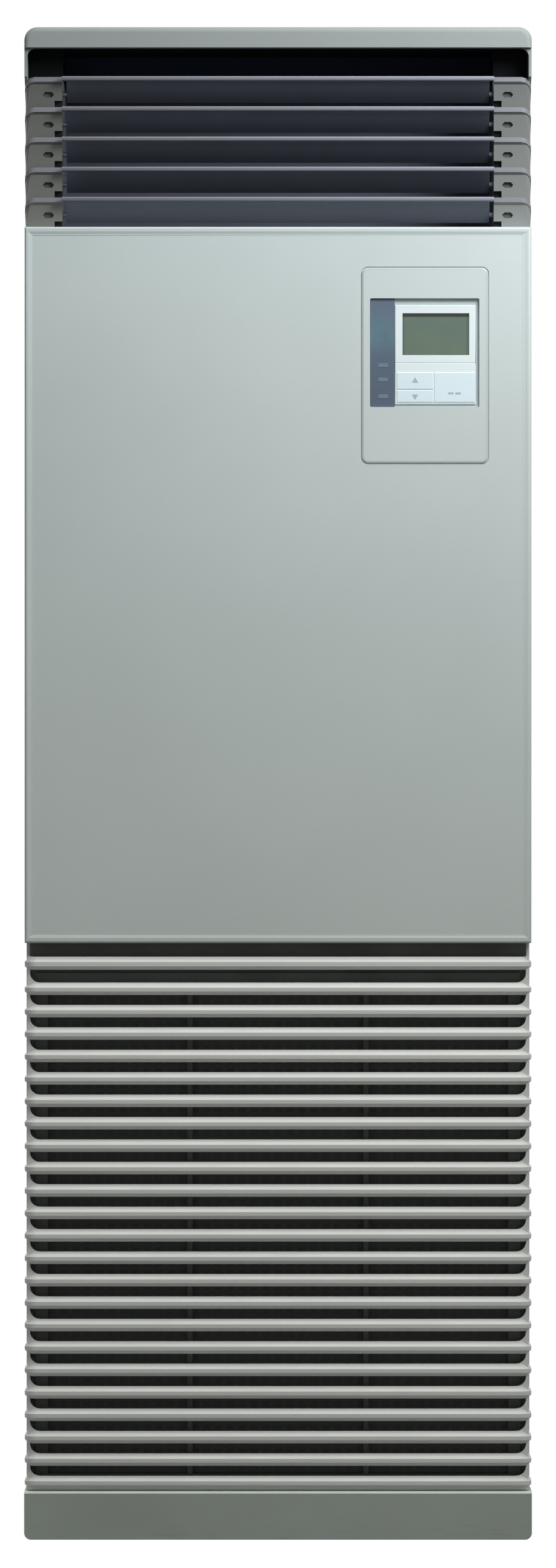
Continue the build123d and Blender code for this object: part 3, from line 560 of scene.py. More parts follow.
def display_finish(name, base, low, high):
    """A liquid crystal window: cloudy film with shadow along its frame."""
    finish = FinishTree(name)
    cloud = finish.noise(scale=38.0)
    warm = [channel * tone for channel, tone in zip(base, FILM_WARMTH)]
    film = finish.ramp(cloud, list(zip(FILM_RANGE, (scaled(base, FILM_TONE), scaled(warm)))))
    top_shadow = [high.z + level for level in FILM_TOP_SHADOW]
    shade = finish.mapped(finish.axis("Z"), *top_shadow, 1.0, FILM_TOP_TONE)
    for edge, (reach, tone) in ((low.x, FILM_LEFT_SHADOW), (high.x, FILM_RIGHT_SHADOW)):
        side_shade = finish.mapped(finish.axis("X"), edge, edge + reach, tone, 1.0)
        shade = finish.math("MULTIPLY", shade, side_shade)
    inputs = {
        "Base Color": finish.mixed(1.0, film, shade, "MULTIPLY"),
        "Roughness": finish.spread(cloud, low=0.14, high=0.2),
    }
    return finish.close(inputs)


def plated_finish(name, base):
    """Zinc-plated steel with a brushed grain."""
    finish = FinishTree(name)
    inputs = {
        "Base Color": finish.toned(finish.noise(scale=450.0), base, low_tone=0.8, high_tone=1.1),
        "Metallic": 1.0,
        "Roughness": finish.spread(finish.noise(scale=1200.0), low=0.28, high=0.42),
    }
    return finish.close(inputs)


def paint_nodes(material, *node_names):
    """Gives CAD nodes their material."""
    for node_name in node_names:
        slots = frame["nodes"][node_name].data.materials
        slots.clear()
        slots.append(material)


def paint_faces(mesh, material, chosen):
    """Gives the chosen faces of a mesh a second material."""
    mesh.materials.append(material)
    for polygon in mesh.polygons:
        if chosen(polygon):
            polygon.material_index = 1


def smooth_mesh(mesh):
    """Smooth shading that stays sharp at real edges."""
    mesh.shade_smooth()
    mesh.set_sharp_from_angle(angle=SHARP_ANGLE)


def modified(mesh, kind, settings, inputs):
    """The mesh that a modifier makes of another, which is used up."""
    name = mesh.name
    carrier = bpy.data.objects.new(name + "_seed", mesh)
    bpy.context.scene.collection.objects.link(carrier)
    modifier = carrier.modifiers.new("shaper", kind)
    for setting, value in settings.items():
        setattr(modifier, setting, value)
    for identifier, value in inputs.items():
        modifier[identifier] = value
    bpy.context.view_layer.update()
    evaluated = carrier.evaluated_get(bpy.context.evaluated_depsgraph_get())
    made = bpy.data.meshes.new_from_object(evaluated)
    carrier.modifiers.remove(modifier)
    bpy.data.objects.remove(carrier)
    bpy.data.meshes.remove(mesh)
    made.name = name
    return made


def flat_faced(mesh):
    """The same mesh with normals that follow its large faces, so flats shade flat."""
    return modified(mesh, "WEIGHTED_NORMAL", {"mode": "FACE_AREA", "weight": 100, "keep_sharp": True}, {})


def weld(shape):
    """Joins points that lie together."""
    bmesh.ops.remove_doubles(shape, verts=shape.verts, dist=WELD_DISTANCE)


def merged(name, meshes):
    """Several meshes as one, with flats that shade flat."""
    whole = bmesh.new()
    for mesh in meshes:
        whole.from_mesh(mesh)
        bpy.data.meshes.remove(mesh)
    made = bpy.data.meshes.new(name)
    whole.to_mesh(made)
    whole.free()
    smooth_mesh(made)
    return flat_faced(made)


def place_piece(piece_name, mesh, material, body, stands_for=()):
    """Puts a finished mesh into the scene as a piece of one body."""
    mesh.materials.clear()
    mesh.materials.append(material)
    piece = bpy.data.objects.new(piece_name, mesh)
    bpy.context.scene.collection.objects.link(piece)
    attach(piece, body)
    if stands_for:
        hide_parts(*stands_for)
    return piece


def reshape_door(point):
    """Brings the door's sides flush with the trim, widens its rim's slope and fits its cut-out."""
    sizes = bpy.context.scene.door_settings
    x, y, z = point
    if abs(x) > DOOR_HIGH.x - sizes.side_zone:
        x -= math.copysign(sizes.side_inset, x)
    elif COVER_LOW.z < z < COVER_HIGH.z and x > COVER_HIGH.x - COVER_MARGIN:
        x -= sizes.cover_trim
    if abs(y - DOOR_LOW.y - FIELD_DEPTH) < FIELD_DEPTH / 4:
        reach_x = DOOR_HIGH.x - sizes.side_inset - sizes.side_slope
        x = max(-reach_x, min(reach_x, x))
        z = max(DOOR_LOW.z + sizes.bottom_slope, min(DOOR_HIGH.z - sizes.top_slope, z))
    return Vector((x, y, z))


def reshape_cap(point):
    """Rounds the cap's upper corners more broadly."""
    growth = bpy.context.scene.door_settings.cap_round / CAP_ROUND
    across, down = CAP_HIGH.x - abs(point.x), CAP_HIGH.z - point.z
    if max(across, down) > CAP_ROUND + WELD_DISTANCE:
        return point.copy()
    x = math.copysign(CAP_HIGH.x - growth * across, point.x)
    return Vector((x, point.y, CAP_HIGH.z - growth * down))


def reshape_cover(point):
    """Brings the cover's right side in and moves its window with the controller."""
    sizes = bpy.context.scene.door_settings
    x, y, z = point
    if x > COVER_HIGH.x - COVER_MARGIN:
        x -= sizes.cover_trim
    elif x > COVER_LOW.x + COVER_MARGIN:
        x -= sizes.controller_shift
    return Vector((x, y, z))


def controller_place(point):
    """A place on the controller, moved with it."""
    return Vector((point[0] - bpy.context.scene.door_settings.controller_shift, point[1], point[2]))


def reshape_face(point):
    """Moves the controller's face, trims its top and right side and raises the display's top."""
    sizes = bpy.context.scene.door_settings
    x, y, z = controller_place(point)
    if point[0] > (FACE_HIGH.x + DISPLAY_HIGH.x) / 2:
        x -= sizes.face_trim
    if z > (FACE_HIGH.z + DISPLAY_HIGH.z) / 2:
        z -= sizes.face_drop
    elif abs(z - DISPLAY_HIGH.z) < sizes.display_rise:
        z += sizes.display_rise
    return Vector((x, y, z))


def soften_node(node_name, piece_name, material, reshape=None):
    """A copy of a CAD node with its edges rounded off, which stands for that node."""
    source = frame["nodes"][node_name].data
    mesh = bpy.data.meshes.new(piece_name)
    mesh.from_pydata(
        [tuple(vertex.co) for vertex in source.vertices],
        [],
        [tuple(polygon.vertices) for polygon in source.polygons],
    )
    shape = bmesh.new()
    shape.from_mesh(mesh)
    weld(shape)
    bmesh.ops.dissolve_limit(shape, angle_limit=FLAT_ANGLE, verts=shape.verts, edges=shape.edges)
    if reshape:
        for vertex in shape.verts:
            vertex.co = reshape(vertex.co)
    bmesh.ops.bevel(
        shape,
        geom=[edge for edge in shape.edges if edge.is_manifold and edge.calc_face_angle() > SHARP_ANGLE],
        affect="EDGES",
        offset_type="OFFSET",
        offset=bpy.context.scene.finish_settings.edge_width,
        segments=2,
        profile=0.5,
        clamp_overlap=True,
    )
    weld(shape)
    bmesh.ops.dissolve_degenerate(shape, dist=WELD_DISTANCE, edges=shape.edges)
    shape.to_mesh(mesh)
    shape.free()
    smooth_mesh(mesh)
    body = BODY_OF_NODE[node_name]
    return place_piece(piece_name, flat_faced(mesh), material, body, (node_name,))


class RuleTree(NodeTree):
    """A geometry node tree under construction, with its named inputs."""

    def __init__(self, name, material):
        super().__init__(bpy.data.node_groups.new(name, "GeometryNodeTree"))
        self.material = material
        self.identifiers = {}
        for direction in ("INPUT", "OUTPUT"):
            self.tree.interface.new_socket(
                name="Geometry", in_out=direction, socket_type="NodeSocketGeometry"
            )
        self.entry = self.tree.nodes.new("NodeGroupInput")
        self.exit = self.tree.nodes.new("NodeGroupOutput")

    def size(self, name, kind="Float"):
        """A named input and its socket on the entry node."""
        socket = self.tree.interface.new_socket(
            name=name, in_out="INPUT", socket_type="NodeSocket" + kind
        )
        self.identifiers[name] = socket.identifier
        return self.entry.outputs[name]

    def sizes(self, *names):
        """Several named lengths."""
        return [self.size(name) for name in names]

    def shape(self, kind, inputs, **settings):
        """The geometry that a new node makes."""
        return self.node("GeometryNode" + kind, inputs, **settings)[0]

    def vector(self, x=0.0, y=0.0, z=0.0):
        """A vector from three numbers."""
        return self.node("ShaderNodeCombineXYZ", {"X": x, "Y": y, "Z": z})["Vector"]

    def position(self, axis):
        """The place of each point along one axis."""
        place = self.node("GeometryNodeInputPosition")["Position"]
        return self.node("ShaderNodeSeparateXYZ", {"Vector": place})[axis]

    def rectangle(self, width, height):
        """The outline of a rectangle."""
        inputs = {"Width": width, "Height": height}
        return self.shape("CurvePrimitiveQuadrilateral", inputs, mode="RECTANGLE")

    def rounded(self, curve, steps, radius, limited=False):
        """A curve with its corners rounded."""
        inputs = {"Curve": curve, "Count": steps, "Radius": radius, "Limit Radius": limited}
        return self.shape("FilletCurve", inputs, mode="POLY")

    def moved(self, geometry, **offset):
        """A geometry moved by an offset."""
        return self.shape("Transform", {"Geometry": geometry, "Translation": self.vector(**offset)})

    def joined(self, *geometries):
        """Several geometries as one."""
        made = self.tree.nodes.new("GeometryNodeJoinGeometry")
        for geometry in geometries:
            self.feed(made, {"Geometry": geometry})
        return made.outputs["Geometry"]

    def copies(self, geometry, **turn):
        """One copy of a geometry at each of the points that the tree is given."""
        inputs = {"Points": self.entry.outputs["Geometry"], "Instance": geometry}
        return self.shape("InstanceOnPoints", {**inputs, **turn})

    def ladder(self, geometry, count, start, step):
        """Copies of a geometry at an even step."""
        inputs = {"Count": count, "Start Location": start, "Offset": step}
        points = self.shape("MeshLine", inputs, mode="OFFSET")
        return self.shape("InstanceOnPoints", {"Points": points, "Instance": geometry})

    def close(self, geometry):
        """Ends the tree with real geometry in its material."""
        real = self.shape("RealizeInstances", {"Geometry": geometry})
        painted = self.shape("SetMaterial", {"Geometry": real, "Material": self.material})
        self.feed(self.exit, {"Geometry": painted})
        return self

    def grow(self, name, points, values, edges=()):
        """The mesh that the tree makes of some points and edges with the given sizes."""
        seed = bpy.data.meshes.new(name)
        seed.from_pydata(points, edges, [])
        inputs = {self.identifiers[size]: value for size, value in values.items()}
        mesh = modified(seed, "NODES", {"node_group": self.tree}, inputs)
        shape = bmesh.new()
        shape.from_mesh(mesh)
        weld(shape)
        bmesh.ops.recalc_face_normals(shape, faces=shape.faces)
        shape.to_mesh(mesh)
        shape.free()
        smooth_mesh(mesh)
        return mesh

    def add_piece(self, name, points, values, slot_name):
        """Grows a mesh and puts it into the scene as a piece of the cabinet."""
        place_piece(name, self.grow(name, points, values), self.material, "cabinet")


def slat_grille_rule(material):
    """Slats with a sloping brow and chin along a path that turns two corners, at an even pitch."""
    rule = RuleTree("slat_grille", material)
    count = rule.size("Slats", "Int")
    pitch, height, depth, brow, chin = rule.sizes("Pitch", "Height", "Depth", "Brow", "Chin")
    crease, corner = rule.sizes("Crease radius", "Corner radius")
    path = rule.shape("MeshToCurve", {"Mesh": rule.entry.outputs["Geometry"]})
    bent = rule.rounded(path, CORNER_STEPS, corner)
    upright = rule.shape("SetCurveNormal", {"Curve": bent}, mode="Z_UP")
    front = rule.math("GREATER_THAN", rule.position("X"), 0.0)
    upper = rule.math("LESS_THAN", rule.position("Y"), 0.0)
    steps = rule.math("MULTIPLY", upper, rule.math("SUBTRACT", brow, chin))
    slope = rule.math("MULTIPLY", front, rule.math("ADD", chin, steps))
    block = rule.rectangle(depth, height)
    faceted = rule.rounded(block, FACET_STEPS, rule.math("MAXIMUM", slope, crease))
    creased = rule.rounded(faceted, CREASE_STEPS, crease, limited=True)
    profile = rule.moved(creased, x=rule.math("MULTIPLY", depth, -0.5))
    slat = rule.shape("CurveToMesh", {"Curve": upright, "Profile Curve": profile, "Fill Caps": True})
    step = rule.vector(z=rule.math("MULTIPLY", pitch, -1.0))
    return rule.close(rule.ladder(slat, count, rule.vector(), step))


def slotted_plate_rule(material):
    """A flat plate whose slots stand at an even pitch, with rounded lower corners."""
    rule = RuleTree("slotted_plate", material)
    count = rule.size("Slots", "Int")
    slot_width, slot_height, slot_radius = rule.sizes("Slot width", "Slot height", "Slot radius")
    pitch, first_slot = rule.sizes("Pitch", "First slot")
    width, height, thickness = rule.sizes("Width", "Height", "Thickness")
    outline = rule.moved(rule.rectangle(width, height), y=rule.math("MULTIPLY", height, 0.5))
    lower = rule.math("LESS_THAN", rule.position("Y"), 0.0)
    radius = rule.math("MAXIMUM", rule.math("MULTIPLY", lower, slot_radius), SLOT_CREASE)
    slot = rule.rounded(rule.rectangle(slot_width, slot_height), SLOT_STEPS, radius)
    step = rule.vector(y=rule.math("MULTIPLY", pitch, -1.0))
    rows = rule.ladder(slot, count, rule.vector(y=first_slot), step)
    slots = rule.shape("RealizeInstances", {"Geometry": rows})
    sheet = rule.shape("FillCurve", {"Curve": rule.joined(outline, slots)}, mode="TRIANGLES")
    back = rule.shape("FlipFaces", {"Mesh": sheet})
    rise = {"Offset": (0.0, 0.0, 1.0), "Offset Scale": thickness, "Individual": False}
    slab = rule.shape("ExtrudeMesh", {"Mesh": sheet, **rise}, mode="FACES")
    turn = {"Rotation": (QUARTER_TURN, 0.0, 0.0)}
    stood = rule.shape("Transform", {"Geometry": rule.joined(slab, back), **turn})
    return rule.close(rule.copies(stood))


def bar_rule(material):
    """Like bars, one at each point."""
    rule = RuleTree("like_bars", material)
    bar = rule.shape("MeshCube", {"Size": rule.size("Bar size", "Vector")})
    return rule.close(rule.copies(bar))


def arrow_rule(material):
    """Small flat arrow heads on upright faces, one at each point."""
    rule = RuleTree("arrow_marks", material)
    size, thickness = rule.sizes("Arrow size", "Thickness")
    turn = rule.size("Turn", "Vector")
    inputs = {"Vertices": ARROW_CORNERS, "Radius": size, "Depth": thickness}
    return rule.close(rule.copies(rule.shape("MeshCylinder", inputs), Rotation=turn))


def screw_rule(material):
    """Cross-recessed screw heads, one at each point, all facing one way."""
    rule = RuleTree("screw_heads", material)
    radius, height, recess = rule.sizes("Head radius", "Head height", "Recess width")
    facing = rule.size("Facing", "Vector")
    crown = rule.math("MULTIPLY", radius, SCREW_CROWN)
    cone = {"Vertices": SCREW_CORNERS, "Radius Top": crown, "Radius Bottom": radius, "Depth": height}
    reach = rule.math("MULTIPLY", radius, RECESS_LENGTH)
    bars = (rule.vector(reach, recess, height), rule.vector(recess, reach, height))
    cross = rule.joined(*[rule.shape("MeshCube", {"Size": bar}) for bar in bars])
    sunk = rule.moved(cross, z=rule.math("MULTIPLY", height, RECESS_LEVEL))
    cut = {"Mesh 1": rule.shape("MeshCone", cone), "Mesh 2": sunk, "Self Intersection": True}
    screw = rule.shape("MeshBoolean", cut, operation="DIFFERENCE", solver="EXACT")
    return rule.close(rule.copies(screw, Rotation=facing))


class AIRCON_OT_panels(bpy.types.Operator):
    """Coats the sheet steel panels and the plinth"""

    bl_idname = "aircon.panels"
    bl_label = "Panels and plinth"

    def execute(self, context):
        # The coat carries a painted tint of the light, warmer towards the bottom and cooler towards the
        # top.
        coat = coated_finish("panel_powder_coat", shade_along("Z", DOOR_LOW, DOOR_HIGH, COAT_LIGHT_TINT))
        # Painted shade for the floors of the grooves pressed into the sheets.
        groove = coated_finish("groove_coat")
        soften_node("front_panel", "front_door_sheet", coat, reshape_door)
        for node, name, outward in (
            ("left_side_panel", "left_side_sheet", Vector((-1, 0, 0))),
            ("right_side_panel", "right_side_sheet", Vector((1, 0, 0))),
            ("back_panel", "back_sheet", Vector((0, 1, 0))),
        ):
            piece = soften_node(node, name, coat)
            self.paint_groove_shade(piece.data, outward, groove)
        base = context.scene.finish_settings.plinth_paint
        plinth = plinth_finish("plinth_paint", base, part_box("base_pan")[1].z)
        soften_node("base_pan", "plinth_tray", plinth)
        return {"FINISHED"}

    @staticmethod
    def paint_groove_shade(mesh, outward, material):
        """Paints shade on the floors of the grooves that are pressed into the outside of a sheet."""
        level = max(vertex.co.dot(outward) for vertex in mesh.vertices)

        def in_groove(polygon):
            depth = level - polygon.center.dot(outward)
            return polygon.normal.dot(outward) > FRONT_SHARE and GROOVE_DEPTH / 2 < depth < 2 * GROOVE_DEPTH

        paint_faces(mesh, material, in_groove)


class AIRCON_OT_trim(bpy.types.Operator):
    """Finishes the moulded cap, the outlet cheeks and the control cover"""

    bl_idname = "aircon.trim"
    bl_label = "Moulded trim"

    def execute(self, context):
        soften_node("top_cap", "cap_moulding", coated_finish("cap_plastic"), reshape_cap)
        # The cheeks carry painted shade, darker towards the top, and painted light, lighter on the right.
        cheek = coated_finish(
            "cheek_plastic",
            shade_along("Z", CHEEK_LOW, CHEEK_HIGH, CHEEK_CAP_SHADE_TONES),
            shade_along("X", CAD_LOW, CAD_HIGH, CHEEK_SIDE_LIGHT_TONES),
        )
        lip = coated_finish("cheek_lip_plastic")
        for side_name in ("left", "right"):
            piece = soften_node(
                f"outlet_cheek_{side_name}", f"{side_name}_cheek_moulding", cheek
            )
            paint_faces(piece.data, lip, self.on_lip)
        self.add_shade_inlays(context.scene.cheek_settings)
        # The cover carries the same painted tint of the light as the door.
        cover = coated_finish("cover_plastic", shade_along("Z", DOOR_LOW, DOOR_HIGH, COAT_LIGHT_TINT))
        piece = soften_node("control_cover", "cover_moulding", cover, reshape_cover)
        # The rim's faces that turn away from the front get painted shade.
        paint_faces(piece.data, coated_finish("cover_rim_plastic"), self.turned_away)
        return {"FINISHED"}

    @staticmethod
    def turned_away(polygon):
        """Whether a face of the cover turns away from the front."""
        return polygon.normal.y > -FRONT_SHARE

    @staticmethod
    def on_lip(polygon):
        """Whether a face of a cheek is on one of its sloping lips."""
        middle = polygon.center
        level = CHEEK_HIGH.z - middle.z - (middle.y - CHEEK_LOW.y) * LOUVER_SLOPE
        return level % LOUVER_PITCH < LIP_BAND

    @staticmethod
    def add_shade_inlays(sizes):
        """Dark inlays at the back of each mark and notch in the cheeks, which paint the shade in these
        recesses.
        """
        mark_x = CAD_HIGH.x - sizes.mark_inset
        mark_y = CHEEK_LOW.y + sizes.mark_depth - sizes.inlay_thickness / 2
        notch_x = CHEEK_LOW.x + sizes.notch_width / 2
        notch_y = CHEEK_LOW.y + sizes.notch_depth - sizes.inlay_thickness / 2
        marks, notches = [], []
        for sign in (-1, 1):
            for row in range(LOUVER_COUNT):
                row_z = CHEEK_HIGH.z - row * LOUVER_PITCH
                marks.append((sign * mark_x, mark_y, row_z - sizes.mark_down))
                notches.append((sign * notch_x, notch_y, row_z - LOUVER_PITCH + sizes.notch_height / 2))
        for name, coat_name, points, width, height in (
            ("cheek_mark_inlays", "mark_inlay", marks, sizes.mark_width, sizes.mark_height),
            ("cheek_notch_inlays", "notch_inlay", notches, sizes.notch_width, sizes.notch_height),
        ):
            values = {"Bar size": Vector((width, sizes.inlay_thickness, height))}
            bar_rule(coated_finish(coat_name)).add_piece(name, points, values, "duct_black")


class AIRCON_OT_louvers(bpy.types.Operator):
    """Finishes the louver blades and their lips"""

    bl_idname = "aircon.louvers"
    bl_label = "Louvers"

    def execute(self, context):
        # Painted shade on each row of blades, darker towards the bottom of each row.
        blade = coated_finish("blade_plastic", painted_shade_by_row)
        # The lips carry painted light, lighter on the right.
        lip = coated_finish("lip_plastic", shade_along("X", CAD_LOW, CAD_HIGH, LIP_SIDE_LIGHT_TONES))
        for number in range(1, LOUVER_COUNT + 1):
            paint_nodes(blade, f"louver_blade_{number}")
            soften_node(f"louver_lip_{number}", f"lip_moulding_{number}", lip)
        return {"FINISHED"}


class AIRCON_OT_airway(bpy.types.Operator):
    """Finishes the duct, the cooling coil and the air filter"""

    bl_idname = "aircon.airway"
    bl_label = "Air way"

    def execute(self, context):
        finish = context.scene.finish_settings
        slate = finish.blade_plastic
        paint_nodes(coated_finish("duct_lining"), "duct_ceiling", "duct_sill")
        paint_nodes(scoop_finish("scoop_lining", finish.scoop_foam, slate, SCOOP_FADE), "duct_scoop")
        side = scoop_finish("duct_side_lining", finish.duct_lining_and_notch_shade, slate, SIDE_FADE)
        paint_nodes(side, "duct_side_left", "duct_side_right")
        paint_nodes(coated_finish("filter_plastic"), "filter_frame", "middle_rail")
        paint_nodes(woven_finish("filter_net", finish.net_plastic), "filter_net")
        paint_nodes(fin_finish("coil_fins", finish.fin_metal), "cooling_coil")
        return {"FINISHED"}


class AIRCON_OT_grille(bpy.types.Operator):
    """Builds the inlet grille's slats, slotted plate and side walls"""

    bl_idname = "aircon.grille"
    bl_label = "Inlet grille"

    def execute(self, context):
        sizes = context.scene.grille_settings
        plastic = coated_finish("grille_plastic")
        head_bottom_z = GRILLE_HIGH.z - sizes.head_height
        first_top_z = head_bottom_z - sizes.head_gap
        runs = (
            (1, sizes.head_height, head_bottom_z + sizes.head_height / 2),
            (sizes.slat_count, sizes.slat_height, first_top_z - sizes.slat_height / 2),
        )
        slats = slat_grille_rule(plastic)
        meshes = [self.slat_run(slats, sizes, *run) for run in runs]
        plate_back_y = GRILLE_LOW.y + sizes.plate_setback + sizes.plate_thickness
        meshes.append(self.plate(slotted_plate_rule(plastic), sizes, first_top_z, plate_back_y))
        meshes.append(self.side_walls(bar_rule(plastic), sizes, plate_back_y))
        grille = merged("wrap_round_grille", meshes)
        place_piece(
            "wrap_round_grille", grille, plastic, "cabinet", ("inlet_grille",)
        )
        return {"FINISHED"}

    @staticmethod
    def slat_run(rule, sizes, count, height, mid_z):
        """Slats of one height, from the uppermost at a level downwards."""
        outer_x, front_y, seam_y = GRILLE_HIGH.x, GRILLE_LOW.y, GRILLE_HIGH.y
        path = [
            (-outer_x, seam_y, mid_z),
            (-outer_x, front_y, mid_z),
            (outer_x, front_y, mid_z),
            (outer_x, seam_y, mid_z),
        ]
        values = {
            "Slats": count,
            "Pitch": sizes.slat_pitch,
            "Height": height,
            "Depth": sizes.slat_depth,
            "Brow": sizes.brow_height,
            "Chin": sizes.chin_height,
            "Crease radius": sizes.crease_radius,
            "Corner radius": sizes.corner_radius,
        }
        return rule.grow("grille_slats", path, values, [(0, 1), (1, 2), (2, 3)])

    @staticmethod
    def plate(rule, sizes, first_top_z, back_y):
        """The slotted plate behind the slats, each slot standing on a slat."""
        half_x = GRILLE_HIGH.x - sizes.plate_inset
        values = {
            "Slots": sizes.slat_count,
            "Pitch": sizes.slat_pitch,
            "Slot width": 2 * (half_x - sizes.wall_thickness),
            "Slot height": sizes.head_gap,
            "Slot radius": sizes.slot_radius,
            "First slot": first_top_z + sizes.head_gap / 2 - GRILLE_LOW.z,
            "Width": 2 * half_x,
            "Height": GRILLE_HIGH.z - GRILLE_LOW.z,
            "Thickness": sizes.plate_thickness,
        }
        return rule.grow("grille_plate", [(0.0, back_y, GRILLE_LOW.z)], values)

    @staticmethod
    def side_walls(rule, sizes, plate_back_y):
        """The two walls that run back from the plate's ends."""
        wall_x = GRILLE_HIGH.x - sizes.plate_inset - sizes.wall_thickness / 2
        mid_y = (plate_back_y + GRILLE_HIGH.y) / 2
        mid_z = (GRILLE_LOW.z + GRILLE_HIGH.z) / 2
        depth = GRILLE_HIGH.y - plate_back_y
        size = Vector((sizes.wall_thickness, depth, GRILLE_HIGH.z - GRILLE_LOW.z))
        points = [(-wall_x, mid_y, mid_z), (wall_x, mid_y, mid_z)]
        return rule.grow("grille_walls", points, {"Bar size": size})


class AIRCON_OT_controller(bpy.types.Operator):
    """Finishes the wired controller and adds its lamps and key marks"""

    bl_idname = "aircon.controller"
    bl_label = "Controller"

    def execute(self, context):
        finish = context.scene.finish_settings
        sizes = context.scene.controller_settings
        strip_right_x = controller_place(FACE_LOW).x
        film_box = [reshape_face(corner) for corner in (DISPLAY_LOW, DISPLAY_HIGH)]
        slate = carrier_finish("controller_slate", finish, strip_right_x)
        white = coated_finish("controller_white")
        film = display_finish("display_film", finish.display_film, *film_box)
        keys = coated_finish("key_plastic")
        for node, name, slot, material, reshape in (
            ("controller_carrier", "carrier_moulding", "controller_slate", slate, controller_place),
            ("controller_face", "controller_face_moulding", "controller_white", white, reshape_face),
            ("controller_display", "display_pane", "display_film", film, reshape_face),
            ("key_upper", "key_upper_cap", "key_grey", keys, controller_place),
            ("key_lower", "key_lower_cap", "key_grey", keys, controller_place),
            ("key_main", "key_main_cap", "key_grey", keys, controller_place),
        ):
            soften_node(node, name, material, reshape)
        self.add_lamps(sizes, strip_right_x - LAMP_INSET)
        self.add_marks(sizes)
        return {"FINISHED"}

    @staticmethod
    def add_lamps(sizes, lamp_x):
        """Three lamp bars on the slate strip."""
        points = [(lamp_x, CARRIER_LOW.y, CARRIER_LOW.z + rise) for rise in LAMP_RISES]
        values = {"Bar size": Vector((sizes.lamp_width, 2 * sizes.lamp_raise, sizes.lamp_height))}
        lamps = bar_rule(coated_finish("lamp_slate"))
        lamps.add_piece("strip_lamps", points, values, "controller_slate")

    @staticmethod
    def add_marks(sizes):
        """An arrow on each of the two small keys and two dashes on the large one."""
        ink = coated_finish("mark_paint")
        arrows = arrow_rule(ink)
        meshes = []
        for key, quarter in (("key_upper", -1), ("key_lower", 1)):
            low, high = map(controller_place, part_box(key))
            point = ((low.x + high.x) / 2, low.y, (low.z + high.z) / 2)
            values = {
                "Arrow size": sizes.mark_size,
                "Thickness": 2 * sizes.mark_raise,
                "Turn": Vector((QUARTER_TURN, quarter * QUARTER_TURN, 0.0)),
            }
            meshes.append(arrows.grow("key_arrow", [point], values))
        low, high = map(controller_place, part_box("key_main"))
        middle_x = (low.x + high.x) / 2
        dash_z = low.z + DASH_LEVEL * (high.z - low.z)
        points = [(middle_x + sign * sizes.mark_size, low.y, dash_z) for sign in (-1, 1)]
        width, height = DASH_LENGTH * sizes.mark_size, DASH_HEIGHT * sizes.mark_size
        values = {"Bar size": Vector((width, 2 * sizes.mark_raise, height))}
        meshes.append(bar_rule(ink).grow("key_dashes", points, values))
        place_piece("key_marks", merged("key_marks", meshes), ink, "cabinet")


class AIRCON_OT_fixings(bpy.types.Operator):
    """Adds the screws that hold the side panels"""

    bl_idname = "aircon.fixings"
    bl_label = "Fixings"

    def execute(self, context):
        sizes = context.scene.fixing_settings
        screws = screw_rule(plated_finish("plated_steel", context.scene.finish_settings.screw_steel))
        levels = (SIDE_LOW.z + SCREW_END, *SCREW_LEVELS, SIDE_HIGH.z - SCREW_END)
        for side_name, sign in (("left", -1), ("right", 1)):
            points = [(sign * SIDE_HIGH.x, SIDE_HIGH.y - SCREW_INSET, z) for z in levels]
            values = {
                "Head radius": sizes.head_radius,
                "Head height": sizes.head_height,
                "Recess width": sizes.recess_width,
                "Facing": Vector((0.0, sign * QUARTER_TURN, 0.0)),
            }
            screws.add_piece(f"{side_name}_side_screws", points, values, "coil_fins")
        return {"FINISHED"}


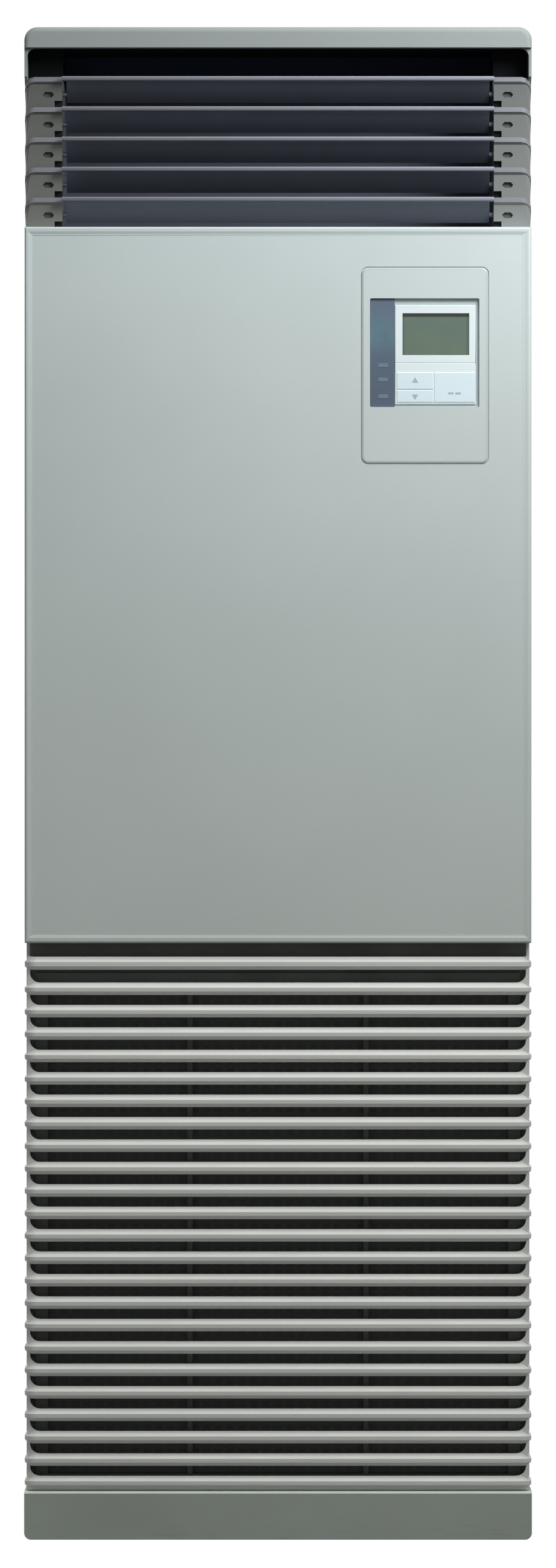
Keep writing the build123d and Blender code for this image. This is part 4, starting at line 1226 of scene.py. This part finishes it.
class AIRCON_OT_stage(bpy.types.Operator):
    """Sets up the floor, the lamps and the camera"""

    bl_idname = "aircon.stage"
    bl_label = "Stage"

    def execute(self, context):
        scene = context.scene
        stage = scene.stage_settings
        scene.view_settings.view_transform = "Standard"
        self.make_floor(scene)
        self.make_world(scene, stage.fill_level)
        for name, (place, aim, width, power_name) in LAMPS.items():
            self.make_lamp(scene, name, place, aim, width, getattr(stage, power_name))
        camera_data = bpy.data.cameras.new("front_camera")
        camera_data.lens = camera_data.sensor_width * stage.camera_distance / stage.frame_height
        camera = bpy.data.objects.new("front_camera", camera_data)
        camera.location = (0.0, CAD_LOW.y - stage.camera_distance, stage.camera_height)
        camera.rotation_euler = (QUARTER_TURN, 0.0, 0.0)
        scene.collection.objects.link(camera)
        scene.camera = camera
        return {"FINISHED"}

    @staticmethod
    def seen_directly(work):
        """1 for the camera and for what mirrors or shines through, else 0."""
        path = work.node("ShaderNodeLightPath")
        total = path["Is Camera Ray"]
        for name in ("Is Glossy Ray", "Is Transmission Ray"):
            total = work.math("MAXIMUM", total, path[name])
        return total

    def make_floor(self, scene):
        """A pale floor that keeps the cabinet's shadow."""
        mesh = bpy.data.meshes.new("studio_floor")
        ways = ((-1, -1), (1, -1), (1, 1), (-1, 1))
        corners = [(across * FLOOR_REACH, along * FLOOR_REACH, 0) for across, along in ways]
        mesh.from_pydata(corners, [], [(0, 1, 2, 3)])
        material = bpy.data.materials.new("studio_floor")
        material.use_nodes = True
        work = NodeTree(material.node_tree)
        glow = work.math("MULTIPLY", self.seen_directly(work), FLOOR_GLOW)
        inputs = {"Base Color": FLOOR_GREY, "Roughness": 0.9}
        light = {"Emission Color": WHITE, "Emission Strength": glow}
        work.feed(material.node_tree.nodes["Principled BSDF"], {**inputs, **light})
        mesh.materials.append(material)
        floor = bpy.data.objects.new("studio_floor", mesh)
        scene.collection.objects.link(floor)

    def make_world(self, scene, fill_level):
        """Even fill light, white where it is seen."""
        world = bpy.data.worlds.new("studio_world")
        scene.world = world
        world.use_nodes = True
        work = NodeTree(world.node_tree)
        strength = work.mapped(self.seen_directly(work), 0.0, 1.0, fill_level, 1.0)
        work.feed(world.node_tree.nodes["Background"], {"Color": WHITE, "Strength": strength})

    @staticmethod
    def make_lamp(scene, name, place, aim, width, watts):
        """A soft square lamp that looks at a point."""
        lamp_data = bpy.data.lights.new(name, "AREA")
        lamp_data.shape = "SQUARE"
        lamp_data.size = width
        lamp_data.energy = watts
        lamp = bpy.data.objects.new(name, lamp_data)
        lamp.location = place
        lamp.rotation_euler = (Vector(aim) - Vector(place)).to_track_quat("-Z", "Y").to_euler()
        scene.collection.objects.link(lamp)


STEPS = (
    AIRCON_OT_panels,
    AIRCON_OT_trim,
    AIRCON_OT_louvers,
    AIRCON_OT_airway,
    AIRCON_OT_grille,
    AIRCON_OT_controller,
    AIRCON_OT_fixings,
    AIRCON_OT_stage,
)
SETTINGS = {
    "finish_settings": FinishSettings,
    "door_settings": DoorSettings,
    "grille_settings": GrilleSettings,
    "cheek_settings": CheekSettings,
    "controller_settings": ControllerSettings,
    "fixing_settings": FixingSettings,
    "stage_settings": StageSettings,
}


class AIRCON_PT_sidebar(bpy.types.Panel):
    """Steps and settings of the air conditioner"""

    bl_idname = "AIRCON_PT_sidebar"
    bl_label = "Air conditioner"
    bl_space_type = "VIEW_3D"
    bl_region_type = "UI"
    bl_category = "Air conditioner"

    def draw(self, context):
        for step in STEPS:
            self.layout.operator(step.bl_idname)
        for name, group in SETTINGS.items():
            box = self.layout.box()
            for field in group.__annotations__:
                box.prop(getattr(context.scene, name), field)


CLASSES = tuple(SETTINGS.values()) + STEPS + (AIRCON_PT_sidebar,)


def register():
    """Makes the operators, the panel and the settings known to Blender."""
    for made in CLASSES:
        bpy.utils.register_class(made)
    for name, group in SETTINGS.items():
        setattr(bpy.types.Scene, name, PointerProperty(type=group))


def unregister():
    """Takes them away again."""
    for name in SETTINGS:
        delattr(bpy.types.Scene, name)
    for made in reversed(CLASSES):
        bpy.utils.unregister_class(made)


def main():
    """Dresses the part step by step."""
    register()
    bpy.ops.aircon.panels()
    bpy.ops.aircon.trim()
    bpy.ops.aircon.louvers()
    bpy.ops.aircon.airway()
    bpy.ops.aircon.grille()
    bpy.ops.aircon.controller()
    bpy.ops.aircon.fixings()
    bpy.ops.aircon.stage()


if __name__ == "__main__":
    main()
